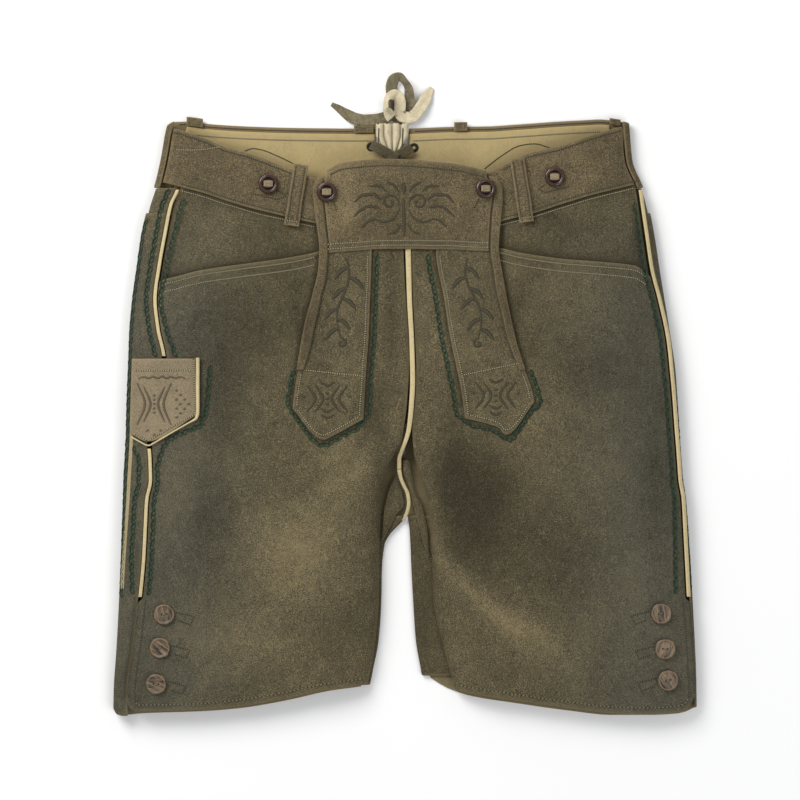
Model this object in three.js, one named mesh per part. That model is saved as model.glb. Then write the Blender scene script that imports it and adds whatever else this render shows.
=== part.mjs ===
// Short suede lederhosen, sewn from separate pieces, lying flat on a table with the front up.
// Millimetres. X runs towards the wearer's left, Y towards the waist, Z up from the table.
import * as THREE from 'three';

// ---- driving sizes --------------------------------------------------------------------------------
const SUEDE = 1.8; // main leather
const BAND = 2; // doubled leather of the waistband
const THIN = 1.2; // lining, facings and gusset
const SEAM = 0.3; // gap between pieces at a seam
const PIPING_HALF = 2.1; // half the width of a side piping
const EDGE_FLAT = 5.4; // height of the front's inner fold above the table
const INNER_ROLL = 46; // width over which a leg falls to its inner fold
const CURL = 10; // width over which the back curls up from the table
const ROLL_POWER = 2.4; // fullness of the rolls across
const ROLL_RISE = 2.2; // fullness of the rolls in height
const TURN = 2.3; // radius of the back's turned inner edge
const TURN_LAND = 6; // flat strip of that edge on the table
const LACE_WIDTH = 10.5;
const LACE = 1.2;
const HORN_RADIUS = 10.2;
const RING_RADIUS = 9.8;
const FACING_DROP = 2.6; // the pocket facing's outer face lies this far under the front's
const FACING_END = 62; // the facings run this far towards the middle
const BAND_INSET = { front: 7.4, back: 5.4 }; // the waistbands start this far inside the outline
const LOOP_WIDTH = 13.4;
const LOOP_ARCH = 1.4; // rise of a front belt loop's middle over its ends
const PROUD = 1.15; // piping stands this far above the leather beside it
const PIPING_CROWN = 0.7;

// what each layer on the front has between it and the front's outer face
const LIFT = { strip: 0.5, flap: 2.6, binding: 3, pocket: 1.4, loop: 1.1 };

// ---- shape tables ---------------------------------------------------------------------------------
// silhouette, side piping and inner fold of each half, from the waist to the hem
const RIGHT_HALF = columns(['y', 'outline', 'piping', 'fold'], [
  [280, -219, -214, -2],
  [267, -223, -216, -2],
  [239, -228, -217, -2],
  [214, -234, -211, -2],
  [197, -239.5, -217.5, -2],
  [169.5, -246, -223, -2],
  [141.5, -250, -228, -1],
  [109, -254.5, -232, 1],
  [81, -257, -229, 3],
  [53, -258, -223.5, 4],
  [16, -259.5, -229, 2],
  [-3, -260, -233.5, 0],
  [-23, -260.5, -237.5, -3],
  [-40, -261.5, -236.5, -12.5],
  [-58.5, -262.5, -236, -18.5],
  [-77, -263, -239.5, -21.5],
  [-105, -264, -241, -23],
  [-133, -265, -242.5, -23.5],
  [-170, -266.5, -246, -24],
  [-216.5, -269, -251, -28],
  [-254, -271.5, -256, -35.5],
  [-280, -272, -256, -41],
]);
const LEFT_HALF = columns(['y', 'outline', 'piping', 'fold'], [
  [280, 208.5, 205.5, 5.5],
  [267, 209.5, 207.5, 5.5],
  [239, 212, 210, 5.5],
  [214, 222, 218, 5.5],
  [197, 227, 220.5, 5.5],
  [169.5, 232.5, 224.5, 6],
  [136.5, 237.5, 229.5, 6.5],
  [109, 242, 236.5, 7.5],
  [71.5, 248, 244.5, 9.5],
  [43.5, 252, 247.5, 10.5],
  [16, 254, 250, 9.5],
  [-12, 255.8, 252, 6.5],
  [-30.5, 257, 253.5, 7.5],
  [-44.5, 258, 254.5, 10],
  [-58.5, 259.2, 255.5, 15],
  [-77, 262, 258.5, 20.5],
  [-105, 264, 260, 23],
  [-133, 266, 261.5, 25],
  [-170, 268, 263.5, 26],
  [-207.5, 270, 266.5, 33.5],
  [-244.5, 271.5, 268.5, 43.5],
  [-280, 272, 269, 52],
]);
// height of the front over the table, height of the outer fold, width of the outer roll,
// and how far the inner edge has fallen from the crown
const DRAPE = columns(['y', 'crown', 'edge', 'roll', 'fall'], [
  [280, 17, 6, 30, 0],
  [215, 19, 6.5, 40, 0],
  [110, 23, 7, 60, 0],
  [10, 26, 7.5, 72, 0],
  [-22, 27, 7.5, 74, 0.16],
  [-48, 27, 7.5, 74, 0.62],
  [-78, 27, 7.5, 74, 0.93],
  [-105, 26.5, 7.5, 74, 1],
  [-180, 25, 7.5, 70, 1],
  [-280, 20, 7, 60, 1],
]);
// inner outline of the back pieces between the legs, below the crotch
const BACK_INNER = columns(['y', 'right', 'left'], [
  [-96, -1, 3],
  [-102.5, -7.5, 4],
  [-109.5, -14, 4.5],
  [-119, -19, 5],
  [-142.5, -21.5, 6],
  [-170, -22, 7.5],
  [-207.5, -24.5, 10],
  [-237, -30, 15],
  [-254, -33.5, 17.5],
  [-280, -40, 21.5],
]);
// edges that run across the garment: x against y
const HEM = columns(['x', 'front', 'back'], [
  [-276, -262, -264],
  [-268, -267, -277],
  [-261, -272, -278],
  [-246.5, -273.5, -276.5],
  [-190.5, -272, -274.6],
  [-153.5, -268.5, -271.6],
  [-111.5, -261.5, -264.6],
  [-70, -253, -255.4],
  [-36, -249.5, -250.6],
  [4, -249, -240],
  [20, -251, -242],
  [38, -253, -252],
  [60.5, -257, -260],
  [107, -264, -267.5],
  [153.5, -270.5, -274],
  [192.5, -275, -278],
  [228, -276, -278],
  [256, -274, -276.5],
  [272.5, -262, -270],
]);
const WAIST = columns(['x', 'backTop', 'bandTop', 'bandSeam'], [
  [-228, 269, 268, 219],
  [-221.5, 272.5, 268.3, 217.5],
  [-214, 275.3, 268, 215.5],
  [-203.5, 275.5, 265, 212.5],
  [-186, 273.5, 259, 208],
  [-167.5, 272, 251, 201.5],
  [-144, 270.8, 244.5, 194.5],
  [-107, 269.6, 230.5, 185.5],
  [-79, 269.2, 220.5, 179],
  [-51, 269, 214, 173.5],
  [0, 269, 211, 169.5],
  [42, 270.5, 215, 171],
  [79, 271, 228, 179.5],
  [101.5, 272.5, 239, 185],
  [116, 273.5, 245.5, 188.5],
  [144, 275.5, 252, 197.5],
  [172, 277, 261.5, 206],
  [181.5, 277.5, 264.5, 208.5],
  [200, 275.5, 269.5, 213],
  [215, 273, 272, 217],
]);
const POCKET_MOUTH = columns(['x', 'y'], [
  [-237, 119],
  [-230.5, 124.5],
  [-222.5, 128],
  [-214, 130],
  [-190.5, 136],
  [-153.5, 141.5],
  [-107, 148],
  [-83, 153],
  [-65, 159],
  [-42, 162],
  [0, 163],
  [42, 162],
  [70, 160],
  [88.5, 157],
  [102.5, 153.5],
  [125.5, 149.5],
  [144, 147],
  [181.5, 144],
  [214, 140.5],
  [223, 135],
  [232.5, 126.5],
  [242, 118],
]);
const FLAP_EDGE = columns(['x', 'top', 'low'], [
  [-86, 210, 151],
  [-83.5, 216.5, 151.5],
  [-79, 223, 152],
  [-70, 230.5, 152.5],
  [-56, 236.5, 153.5],
  [-14, 239.5, 156],
  [42, 235.5, 155.5],
  [70, 230, 154],
  [81, 227, 153.5],
  [87.5, 221.5, 153],
  [91, 212, 152.5],
]);
// ornamental strips below the flap and the folded bindings beside it
const STRIPS = columns(['y', 'rightOut', 'rightIn', 'leftIn', 'leftOut'], [
  [170, -77, -31, 29, 85.5],
  [155.5, -79, -31, 29, 86.5],
  [109, -82.5, -32.5, 36.5, 91],
  [71.5, -90, -34, 42.5, 98.5],
  [47.5, -98, -36, 47.5, 109.5],
  [14, -103.5, -38, 54, 120],
  [-22, -106, -39, 57.5, 122],
]);
const BINDINGS = columns(['y', 'rightOut', 'rightIn', 'leftIn', 'leftOut'], [
  [224, -80.5, -73.5, 77, 84.5],
  [211, -86, -77.5, 82.5, 91],
  [183, -83, -74.5, 80.5, 89.5],
  [155.5, -79.5, -71.5, 79, 87.5],
  [133, -81.5, -73.5, 82, 90.5],
  [109, -87, -78.5, 86.5, 95],
  [71.5, -96, -87, 95.5, 103],
  [43.5, -100.5, -93.5, 106, 112],
]);
// tip of each strip: share of the width, height of the cut end
const STRIP_TIP = columns(['share', 'right', 'left'], [
  [0, 7.5, -1],
  [0.46, -21, -9.5],
  [0.56, -18, -16.5],
  [1, -2, 14],
]);
const CENTRE_SEAM = columns(['y', 'x', 'half', 'z'], [
  [204, 1.8, 3.2, 1],
  [109, 4.2, 2.6, 1],
  [71, 6.2, 2.5, 1],
  [34.5, 7.1, 2.6, 1],
  [6.5, 5.6, 2.5, 0.8],
  [-12, 3.4, 2.4, 0.2],
  [-21.5, 0.8, 2.3, -0.8],
  [-30.5, -2.6, 2.2, -1.6],
  [-40, -5.4, 2.2, -2.2],
  [-49.5, -5.4, 2.2, -2.6],
]);
const CROTCH_SEAM = columns(['y', 'x', 'half', 'z'], [
  [-50.4, -5.3, 2.2, 11.6],
  [-56.5, -4, 2.1, 11],
  [-64, -1, 2.1, 10.4],
  [-70.5, 2.2, 2.1, 9.8],
  [-80, 3.5, 2, 8.8],
  [-88.5, 2, 2, 7.6],
  [-96.5, -1.6, 1.8, 5.8],
]);
// the back's forks where they turn up beside the crotch seam
const RIGHT_FORK = columns(['y', 'out', 'in', 'z'], [
  [-56, -9, -7, 7],
  [-62.5, -12.6, -5, 7],
  [-72.5, -16.3, -2.2, 6.8],
  [-80, -18, -0.6, 6.6],
  [-84.5, -19.2, -1.6, 6.5],
  [-89, -19.7, -7, 6.4],
  [-96, -20.4, -10.5, 6.4],
  [-107, -21.4, -16, 6.4],
  [-115, -22, -20.5, 6.4],
]);
const LEFT_FORK = columns(['y', 'out', 'in', 'z'], [
  [-40, 4.2, -2.4, 8.8],
  [-49.3, 5.6, -2.2, 8.4],
  [-58.6, 7, 0.6, 8],
  [-66, 8, 4, 7.6],
  [-71.6, 11.2, 5.4, 7.2],
  [-80, 14.9, 6.8, 6.8],
  [-89.3, 17.7, 9.8, 6.5],
  [-100.4, 20.5, 12.6, 6.4],
  [-111.6, 21.7, 15.3, 6.4],
  [-121, 22.4, 18.1, 6.4],
  [-129, 23.3, 21.6, 6.4],
]);
// pocket for a knife over the wearer's right side seam
const KNIFE_POCKET = columns(['y', 'out', 'in'], [
  [54, -252.5, -195],
  [2, -254, -193.5],
  [-24, -254.5, -193],
]);
const KNIFE_POCKET_TIP = columns(['share', 'y'], [
  [0, -15],
  [0.26, -22.5],
  [1, 2],
]);
const YOKE_SEAM = 190; // the seat panels begin here
const YOKE_TOP = 213; // the back waistband begins here
const YOKE_INSET = 2.2; // the yoke lies this far inside the seat panels
const LACE_GAP = { right: -27.5, left: 3.5, foot: -11.5, low: 241 }; // notch in the back waistband
const RIB_COUNT = 4; // pleats of the gusset in that notch

// button centres
const HORN_BUTTONS = [
  ['horn_button_right_1', -223, -183],
  ['horn_button_right_2', -227, -214],
  ['horn_button_right_3', -230.5, -247.5],
  ['horn_button_left_1', 237, -182.5],
  ['horn_button_left_2', 241, -215],
  ['horn_button_left_3', 243.5, -244.5],
];
const RING_BUTTONS = [
  ['flap_button_right', -72.5, 209, 4.9],
  ['flap_button_left', 74.5, 211, 4.9],
  ['waist_button_right', -127, 216.5, 0.5],
  ['waist_button_left', 139, 223, 0.5],
];
// belt loops on the front waistband: upper end, lower end
const FRONT_LOOPS = [
  ['belt_loop_front_right', [-96.5, 234.5], [-105.5, 177.5]],
  ['belt_loop_front_left', [104, 240.5], [113, 181]],
];
// belt loops over the back's top edge: middle, width, rise above the edge
const BACK_LOOPS = [
  ['belt_loop_back_1', -196, 15, 4.5],
  ['belt_loop_back_2', -38.5, 18, 3],
  ['belt_loop_back_3', 52, 12, 4.5],
  ['belt_loop_back_4', 196, 10, 2.2],
];
// routes of the two lace ends: x, y, z of the middle line, and the tilt of the lace in degrees
const TIE_SHORT = [
  [-12, 278.5, 6.6, 8],
  [-15.5, 282.5, 7.6, 30],
  [-18.3, 287.5, 8.8, 62],
  [-18.2, 293.5, 8.6, 66],
  [-15.4, 298.6, 8.4, 50],
  [-10.4, 300.4, 8, 20],
  [-6, 297.6, 7.4, -8],
  [-4.6, 291.5, 6.6, -10],
  [-5, 285, 5.6, -4],
  [-2.6, 280.4, 5, 0],
  [4.4, 279, 5.4, 0],
  [8.6, 281.2, 6, 0],
  [13.6, 287.2, 5.6, 0],
  [18.2, 294.6, 3.6, 0],
  [21.8, 301.5, 1.8, 0],
  [25, 307.2, 1.2, 0],
];
const TIE_LONG = [
  [-9.5, 274.5, 1.3, 0],
  [-4.5, 279.5, 1.3, 0],
  [1, 286.5, 1.4, 10],
  [4, 295, 1.8, 24],
  [3.4, 304, 2.6, 40],
  [-0.4, 312, 3.4, 58],
  [-5.6, 316.4, 3.8, 40],
  [-10.4, 314.2, 3.2, 12],
  [-12.6, 307.6, 2.4, 0],
  [-11.8, 299.4, 1.6, 0],
  [-10.6, 291, 1.2, 0],
  [-13, 283.4, 1.6, 0],
  [-20.5, 278.8, 2.8, 0],
  [-29, 277.2, 3.2, 0],
  [-38, 276.8, 3, 0],
  [-47, 278.6, 2, 0],
  [-55, 283, 1.2, 0],
  [-62, 288, 1.2, 0],
  [-68.5, 292, 1.2, 0],
];

// ---- finishes -------------------------------------------------------------------------------------
const finish = (color, roughness) => new THREE.MeshStandardMaterial({ color, roughness, metalness: 0 });
const FINISH = {
  suede: finish(0x645e4a, 0.95),
  pocket: finish(0x7c7058, 0.95),
  lining: finish(0xb9a77c, 0.9),
  piping: finish(0xd3bf8b, 0.75),
  lace: finish(0x7a705a, 0.9),
  darkLace: finish(0x453a2c, 0.9),
  gusset: finish(0xd0c39c, 0.85),
  horn: finish(0x6b5a45, 0.5),
  ring: finish(0x35180f, 0.2),
};

// ---- curves and solids ----------------------------------------------------------------------------
const mix = (a, b, t) => a + (b - a) * t;
const clamp = (value, low, high) => Math.min(high, Math.max(low, value));

// Cubic curve through (keys, values) whose slopes are limited, so it never overshoots a row.
function smooth(keys, values) {
  const last = keys.length - 1;
  const secant = keys.slice(1).map((key, i) => (values[i + 1] - values[i]) / (key - keys[i]));
  const slope = keys.map((key, i) => {
    const before = secant[Math.max(i - 1, 0)];
    const after = secant[Math.min(i, last - 1)];
    return before * after <= 0 ? 0 : (2 * before * after) / (before + after);
  });
  return (at) => {
    const key = clamp(at, keys[0], keys[last]);
    const next = keys.findIndex((k) => k > key);
    const low = next < 0 ? last - 1 : next - 1;
    const step = keys[low + 1] - keys[low];
    const t = (key - keys[low]) / step;
    const rise = (1 - t) * (1 - t) * (values[low] * (1 + 2 * t) + slope[low] * step * t);
    return rise + t * t * (values[low + 1] * (3 - 2 * t) - slope[low + 1] * step * (1 - t));
  };
}

// A table as one smooth function for each named column, read by its first column.
function columns(names, rows) {
  const sorted = [...rows].sort((a, b) => a[0] - b[0]);
  const keys = sorted.map((row) => row[0]);
  const table = { low: keys[0], high: keys[keys.length - 1] };
  names.slice(1).forEach((name, i) => {
    table[name] = smooth(keys, sorted.map((row) => row[i + 1]));
  });
  return table;
}

// Even steps from 0 to 1, or steps crowded towards both ends.
const even = (count) => Array.from({ length: count + 1 }, (_, i) => i / count);
const crowded = (count) => even(count).map((t) => 0.5 - 0.5 * Math.cos(Math.PI * t));

const mirrored = (steps) => steps.map((step) => 1 - step).reverse();

// A closed wall: a grid of points on its outer face, and the same grid set back along the normals.
function wall(surface, us, vs, thickness) {
  const grid = us.map((u) => vs.map((v) => surface(u, v)));
  const rows = us.length;
  const cols = vs.length;
  const point = (i, j) => grid[clamp(i, 0, rows - 1)][clamp(j, 0, cols - 1)];
  const positions = [];
  const back = [];
  for (let i = 0; i < rows; i += 1) {
    for (let j = 0; j < cols; j += 1) {
      const along = new THREE.Vector3().subVectors(point(i + 1, j), point(i - 1, j));
      const across = new THREE.Vector3().subVectors(point(i, j + 1), point(i, j - 1));
      const normal = new THREE.Vector3().crossVectors(along, across).normalize();
      const outer = point(i, j);
      positions.push(outer.x, outer.y, outer.z);
      back.push(...outer.clone().addScaledVector(normal, -thickness).toArray());
    }
  }
  positions.push(...back);
  const half = rows * cols;
  const index = [];
  const quad = (a, b, c, d) => index.push(a, b, c, a, c, d);
  const at = (i, j) => i * cols + j;
  for (let i = 0; i < rows - 1; i += 1) {
    for (let j = 0; j < cols - 1; j += 1) {
      quad(at(i, j), at(i + 1, j), at(i + 1, j + 1), at(i, j + 1));
      quad(half + at(i, j), half + at(i, j + 1), half + at(i + 1, j + 1), half + at(i + 1, j));
    }
  }
  for (let i = 0; i < rows - 1; i += 1) {
    quad(at(i, 0), half + at(i, 0), half + at(i + 1, 0), at(i + 1, 0));
    quad(at(i + 1, cols - 1), half + at(i + 1, cols - 1), half + at(i, cols - 1), at(i, cols - 1));
  }
  for (let j = 0; j < cols - 1; j += 1) {
    quad(at(0, j + 1), half + at(0, j + 1), half + at(0, j), at(0, j));
    quad(at(rows - 1, j), half + at(rows - 1, j), half + at(rows - 1, j + 1), at(rows - 1, j + 1));
  }
  const geometry = new THREE.BufferGeometry();
  geometry.setAttribute('position', new THREE.Float32BufferAttribute(positions, 3));
  geometry.setIndex(index);
  geometry.computeVertexNormals();
  return geometry;
}

const garment = new THREE.Group();
function add(name, geometry, material) {
  const mesh = new THREE.Mesh(geometry, material);
  mesh.name = name;
  garment.add(mesh);
  return mesh;
}

// ---- the drape ------------------------------------------------------------------------------------
const HALVES = [
  { name: 'right', side: -1, ...RIGHT_HALF },
  { name: 'left', side: 1, ...LEFT_HALF },
];

// Rise of a rounded roll: 0 at its edge, 1 once the share of its width reaches 1.
function roll(share) {
  const inside = clamp(1 - share, 0, 1);
  return (1 - inside ** ROLL_POWER) ** (1 / ROLL_RISE);
}

// Height of the front's outer face over the table.
function frontHeight(x, y) {
  const half = HALVES[x > (RIGHT_HALF.fold(y) + LEFT_HALF.fold(y)) / 2 ? 1 : 0];
  const fromOutline = half.side * (half.outline(y) - x);
  const fromFold = half.side * (x - half.fold(y));
  const edge = DRAPE.edge(y);
  const crown = edge + (DRAPE.crown(y) - edge) * roll(fromOutline / DRAPE.roll(y));
  return EDGE_FLAT + (crown - EDGE_FLAT) * (1 - DRAPE.fall(y) * (1 - roll(fromFold / INNER_ROLL)));
}

// A point of the front's outer face, moved out along its normal.
function onFront(x, y, out = 0) {
  const probe = 0.5;
  const slopeX = (frontHeight(x + probe, y) - frontHeight(x - probe, y)) / (2 * probe);
  const slopeY = (frontHeight(x, y + probe) - frontHeight(x, y - probe)) / (2 * probe);
  const normal = new THREE.Vector3(-slopeX, -slopeY, 1).normalize();
  return new THREE.Vector3(x, y, frontHeight(x, y)).addScaledVector(normal, out);
}

// Grid point of a piece cut between two side edges x(y) and two cross edges y(x): u across, v up.
function cut(from, to, low, high) {
  const meet = (edge, u) => {
    let y = edge((from(0) + to(0)) / 2, u);
    for (let pass = 0; pass < 4; pass += 1) {
      y = edge(mix(from(y), to(y), u), u);
    }
    return y;
  };
  return (u, v) => {
    const y = mix(meet(low, u), meet(high, u), v);
    return [mix(from(y), to(y), u), y];
  };
}

// A panel laid on the front's outer face, its outer side `out` above it.
function laid(from, to, low, high, out, us, vs, thickness) {
  const place = cut(from, to, low, high);
  return wall((u, v) => onFront(...place(u, v), out), us, vs, thickness);
}

// Ring of the back from the side seam round the outer fold to the table:
// t 0..1 goes down the roll, 1..2 round the curl, 2..3 along the table to `inner`.
function backPoint(half, y, t, start, inner, inset) {
  const outline = half.outline(y) - half.side * inset;
  const rollWidth = DRAPE.roll(y);
  const edge = DRAPE.edge(y);
  if (t <= 1) {
    const share = clamp((half.side * (outline - start)) / rollWidth, 0, 1);
    const angle = Math.acos((1 - share) ** (ROLL_POWER / 2)) * (1 - t);
    const across = rollWidth * (1 - Math.cos(angle) ** (2 / ROLL_POWER));
    const rise = (DRAPE.crown(y) - edge) * Math.sin(angle) ** (2 / ROLL_RISE);
    return new THREE.Vector3(outline - half.side * across, y, edge + rise);
  }
  if (t <= 2) {
    const angle = ((t - 1) * Math.PI) / 2;
    const across = CURL * (1 - Math.cos(angle) ** (2 / ROLL_POWER));
    const rise = edge * (1 - Math.sin(angle) ** (2 / ROLL_RISE));
    return new THREE.Vector3(outline - half.side * across, y, rise);
  }
  return new THREE.Vector3(mix(outline - half.side * CURL, inner, t - 2), y, 0);
}

const ROLL_STEPS = [0, 0.34, 0.67, 1, 1.25, 1.5, 1.75, 2];
const TABLE_STEPS = [2.2, 2.4, 2.6, 2.8, 3];

// A back piece between two edges y(x), round the fold and along the table.
function backPiece(half, start, inner, low, high, vs, thickness, inset = 0) {
  const surface = (t, v) => {
    const estimate = (edge) => {
      let y = edge(half.outline(0));
      for (let pass = 0; pass < 4; pass += 1) {
        y = edge(backPoint(half, y, t, start(y), inner(y), inset).x);
      }
      return y;
    };
    const y = mix(estimate(low), estimate(high), v);
    return backPoint(half, y, t, start(y), inner(y), inset);
  };
  const outward = half.side < 0 ? (t, v) => surface(t, 1 - v) : surface;
  return wall(outward, [...ROLL_STEPS, ...TABLE_STEPS], half.side < 0 ? mirrored(vs) : vs, thickness);
}

// ---- fronts, facings, waistbands ------------------------------------------------------------------
const FRONT_STATIONS = [-268, -245, -220, -195, -170, -150, -130, -114, -100, -88, -76, -64, -52, -40, -28, -14,
  2, 26, 54, 84, 116, 150];
const FRONT_ROWS = FRONT_STATIONS.map((y) => (y + 268) / 418);

HALVES.forEach((half) => {
  const { name, side } = half;
  const seam = (y) => half.piping(y) - side * (PIPING_HALF + SEAM);
  const inward = (surface) => (side < 0 ? surface : (u, v) => surface(1 - u, v));
  const hem = (x) => HEM.front(x);
  const frontCut = cut(seam, half.fold, hem, (x) => POCKET_MOUTH.y(x));
  const front = inward((u, v) => onFront(...frontCut(u, v)));
  add(`front_${name}`, wall(front, crowded(13), FRONT_ROWS, SUEDE), FINISH.suede);

  const facingEnd = () => side * FACING_END;
  const facingCut = cut(seam, facingEnd, (x) => POCKET_MOUTH.y(x) - 14, (x) => WAIST.bandSeam(x) + 6);
  const facing = inward((u, v) => onFront(...facingCut(u, v), -FACING_DROP));
  add(`pocket_facing_${name}`, wall(facing, even(9), even(4), THIN), FINISH.suede);

  const bandStart = (y) => half.outline(y) - side * BAND_INSET.front;
  const bandEnd = () => (side < 0 ? -22 : 26);
  const bandCut = cut(bandStart, bandEnd, (x) => WAIST.bandSeam(x), (x) => WAIST.bandTop(x));
  add(`waistband_front_${name}`,
    wall(inward((u, v) => onFront(...bandCut(u, v))), even(11), even(3), BAND), FINISH.suede);
});

// ---- backs, yoke, back waistband, lining ----------------------------------------------------------
const SEAT_STATIONS = [-278, -255, -230, -200, -170, -140, -122, -111, -103, -96, -84, -66, -45, -20, 10, 40, 70,
  100, 130, 160, 190];
const SEAT_ROWS = SEAT_STATIONS.map((y) => (y + 278) / 468);

// edge of the notch for the lace at height y, on the named side
const lacingNotch = (name, y) => mix(LACE_GAP.foot, LACE_GAP[name], clamp((y - LACE_GAP.low) / 12, 0, 1));

HALVES.forEach((half) => {
  const { name, side } = half;
  const start = (y) => half.piping(y) + side * (PIPING_HALF + SEAM) * (y < YOKE_TOP ? 1 : 0);
  const centre = side < 0 ? -0.4 : 0.4;
  const inner = (y) => {
    const turned = BACK_INNER[name](y) + side * (TURN_LAND + 7 * SEAM);
    const open = clamp((-84 - y) / 6, 0, 1);
    return mix(centre, turned, open);
  };
  const seat = backPiece(half, start, inner, (x) => HEM.back(x), () => YOKE_SEAM, SEAT_ROWS, SUEDE);
  add(`seat_${name}`, seat, FINISH.suede);
  const yokeLow = () => YOKE_SEAM + SEAM;
  const yoke = backPiece(half, start, () => centre, yokeLow, () => YOKE_TOP, even(2), SUEDE, YOKE_INSET);
  add(`yoke_${name}`, yoke, FINISH.suede);
  const bandStart = (y) => half.outline(y) - side * BAND_INSET.back;
  const notch = (y) => lacingNotch(name, y) + side * 0.4;
  const bandLow = () => YOKE_TOP + 3 * SEAM;
  const band = backPiece(half, bandStart, notch, bandLow, (x) => WAIST.backTop(x), even(4), BAND);
  add(`waistband_back_${name}`, band, FINISH.suede);
});

// lining over the inside of the back, as far down as the front leaves it in sight
const LINING_LOW = 188;
const LINING_DROP = 5; // its top edge lies this far below the waistband's
const LINING_INSET = 19; // and its side edge this far inside the outline
HALVES.forEach((half) => {
  const { name, side } = half;
  const foot = (y) => lacingNotch(name, y) + side * 0.6;
  const outer = (y) => half.outline(y) - side * LINING_INSET;
  const surface = (u, v) => {
    const top = (x) => WAIST.backTop(x) - LINING_DROP;
    const [x, y] = cut(outer, foot, () => LINING_LOW, top)(u, v);
    const nearFold = clamp(1 - Math.abs(x - outer(y)) / 12, 0, 1);
    return new THREE.Vector3(x, y, BAND + SEAM + THIN + 1.6 * nearFold * nearFold);
  };
  const facingUp = side < 0 ? surface : (u, v) => surface(1 - u, v);
  add(`lining_${name}`, wall(facingUp, even(8), even(4), THIN), FINISH.lining);
});

// pleated gusset in the notch of the back waistband, its pleats standing above the edge
const GUSSET = { low: 242, high: 273.8, floor: 4.6, rise: 3.2 };
add('lace_gusset', wall((u, v) => {
  const y = mix(GUSSET.low, GUSSET.high, v);
  const left = mix(LACE_GAP.foot - 4, LACE_GAP.right, clamp(v * 1.6, 0, 1));
  const right = mix(LACE_GAP.foot + 4, LACE_GAP.left, clamp(v * 1.6, 0, 1));
  const pleat = Math.abs(Math.sin(Math.PI * RIB_COUNT * u));
  return new THREE.Vector3(mix(left, right, u), y, GUSSET.floor + THIN + GUSSET.rise * pleat);
}, even(16), even(3), THIN), FINISH.gusset);

// the two ends of the lace that cross inside, below the gusset
const CROSSED_LACE = [
  ['lace_cross_right', [-32, 254], [-7, 240.5], 9.2],
  ['lace_cross_left', [6.5, 251], [-8.5, 242.5], 6.2],
];
CROSSED_LACE.forEach(([name, from, to, top]) => {
  const run = new THREE.Vector2(to[0] - from[0], to[1] - from[1]);
  const across = new THREE.Vector2(-run.y, run.x).normalize().multiplyScalar(LACE_WIDTH / 2);
  add(name, wall((u, v) => {
    const arch = Math.sin(Math.PI * clamp(u * 1.2, 0, 1)) ** 0.7;
    const x = mix(from[0], to[0], u) + across.x * (2 * v - 1);
    const y = mix(from[1], to[1], u) + across.y * (2 * v - 1);
    return new THREE.Vector3(x, y, mix(5.4, top, Math.max(arch, u)) + 4.6);
  }, even(6), even(1), LACE), FINISH.darkLace);
});

// ---- front fall: strips, flap, bindings -----------------------------------------------------------
HALVES.forEach((half) => {
  const { name, side } = half;
  const out = (y) => STRIPS[`${name}Out`](y);
  const inn = (y) => STRIPS[`${name}In`](y);
  const [from, to] = side < 0 ? [out, inn] : [inn, out];
  const tip = (x, u) => STRIP_TIP[name](u);
  const strip = laid(from, to, tip, () => 166, LIFT.strip + SUEDE, [0, 0.23, 0.46, 0.73, 1], even(14), SUEDE);
  add(`flap_strip_${name}`, strip, FINISH.suede);
  const bindingOut = (y) => BINDINGS[`${name}Out`](y);
  const bindingIn = (y) => BINDINGS[`${name}In`](y);
  const [start, end] = side < 0 ? [bindingOut, bindingIn] : [bindingIn, bindingOut];
  const binding = laid(start, end, () => 44, () => 223, LIFT.binding + SUEDE, even(2), even(15), SUEDE);
  add(`flap_binding_${name}`, binding, FINISH.suede);
});
const FLAP_INSET = 1.5; // the flap ends this far inside its bindings
const flapRight = (y) => BINDINGS.rightIn(y) + FLAP_INSET;
const flapLeft = (y) => BINDINGS.leftIn(y) - FLAP_INSET;
const flapLow = (x) => FLAP_EDGE.low(x);
const flapTop = (x) => FLAP_EDGE.top(x);
const flap = laid(flapRight, flapLeft, flapLow, flapTop, LIFT.flap + SUEDE, crowded(10), even(7), SUEDE);
add('flap_panel', flap, FINISH.suede);

// ---- piping ---------------------------------------------------------------------------------------
// A strip of piping laid along x(y): crowned across, its side edges `half` from its middle line.
function pipingStrip(middle, half, height, from, to, count, thickness) {
  return wall((u, v) => {
    const y = mix(to, from, v);
    const across = 2 * u - 1;
    const crown = PIPING_CROWN * (1 - across * across);
    return height(middle(y) + across * half(y), y, crown, middle(y));
  }, [0, 0.5, 1], even(count), thickness);
}
const centreHeight = (x, y, crown, middle) =>
  new THREE.Vector3(x, y, frontHeight(middle, y) + CENTRE_SEAM.z(y) + crown);
const frontSeam = pipingStrip(CENTRE_SEAM.x, CENTRE_SEAM.half, centreHeight, 160, -49.3, 22, SUEDE);
add('front_seam_piping', frontSeam, FINISH.piping);
const crotchHeight = (x, y, crown) => new THREE.Vector3(x, y, CROTCH_SEAM.z(y) + crown);
const crotchSeam = pipingStrip(CROTCH_SEAM.x, CROTCH_SEAM.half, crotchHeight, -50.2, -96.5, 8, SUEDE);
add('crotch_piping', crotchSeam, FINISH.piping);
const SIDE_PIPINGS = [
  ['side_piping_right_upper', HALVES[0], 211, 56.5, 14],
  ['side_piping_right_lower', HALVES[0], -29.5, -167, 12],
  ['side_piping_left', HALVES[1], 211, -167, 34],
];
SIDE_PIPINGS.forEach(([name, half, from, to, count]) => {
  const place = (x, y, crown) => onFront(x, y, PROUD + crown);
  add(name, pipingStrip(half.piping, () => PIPING_HALF - 0.3, place, from, to, count, THIN), FINISH.piping);
});

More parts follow.
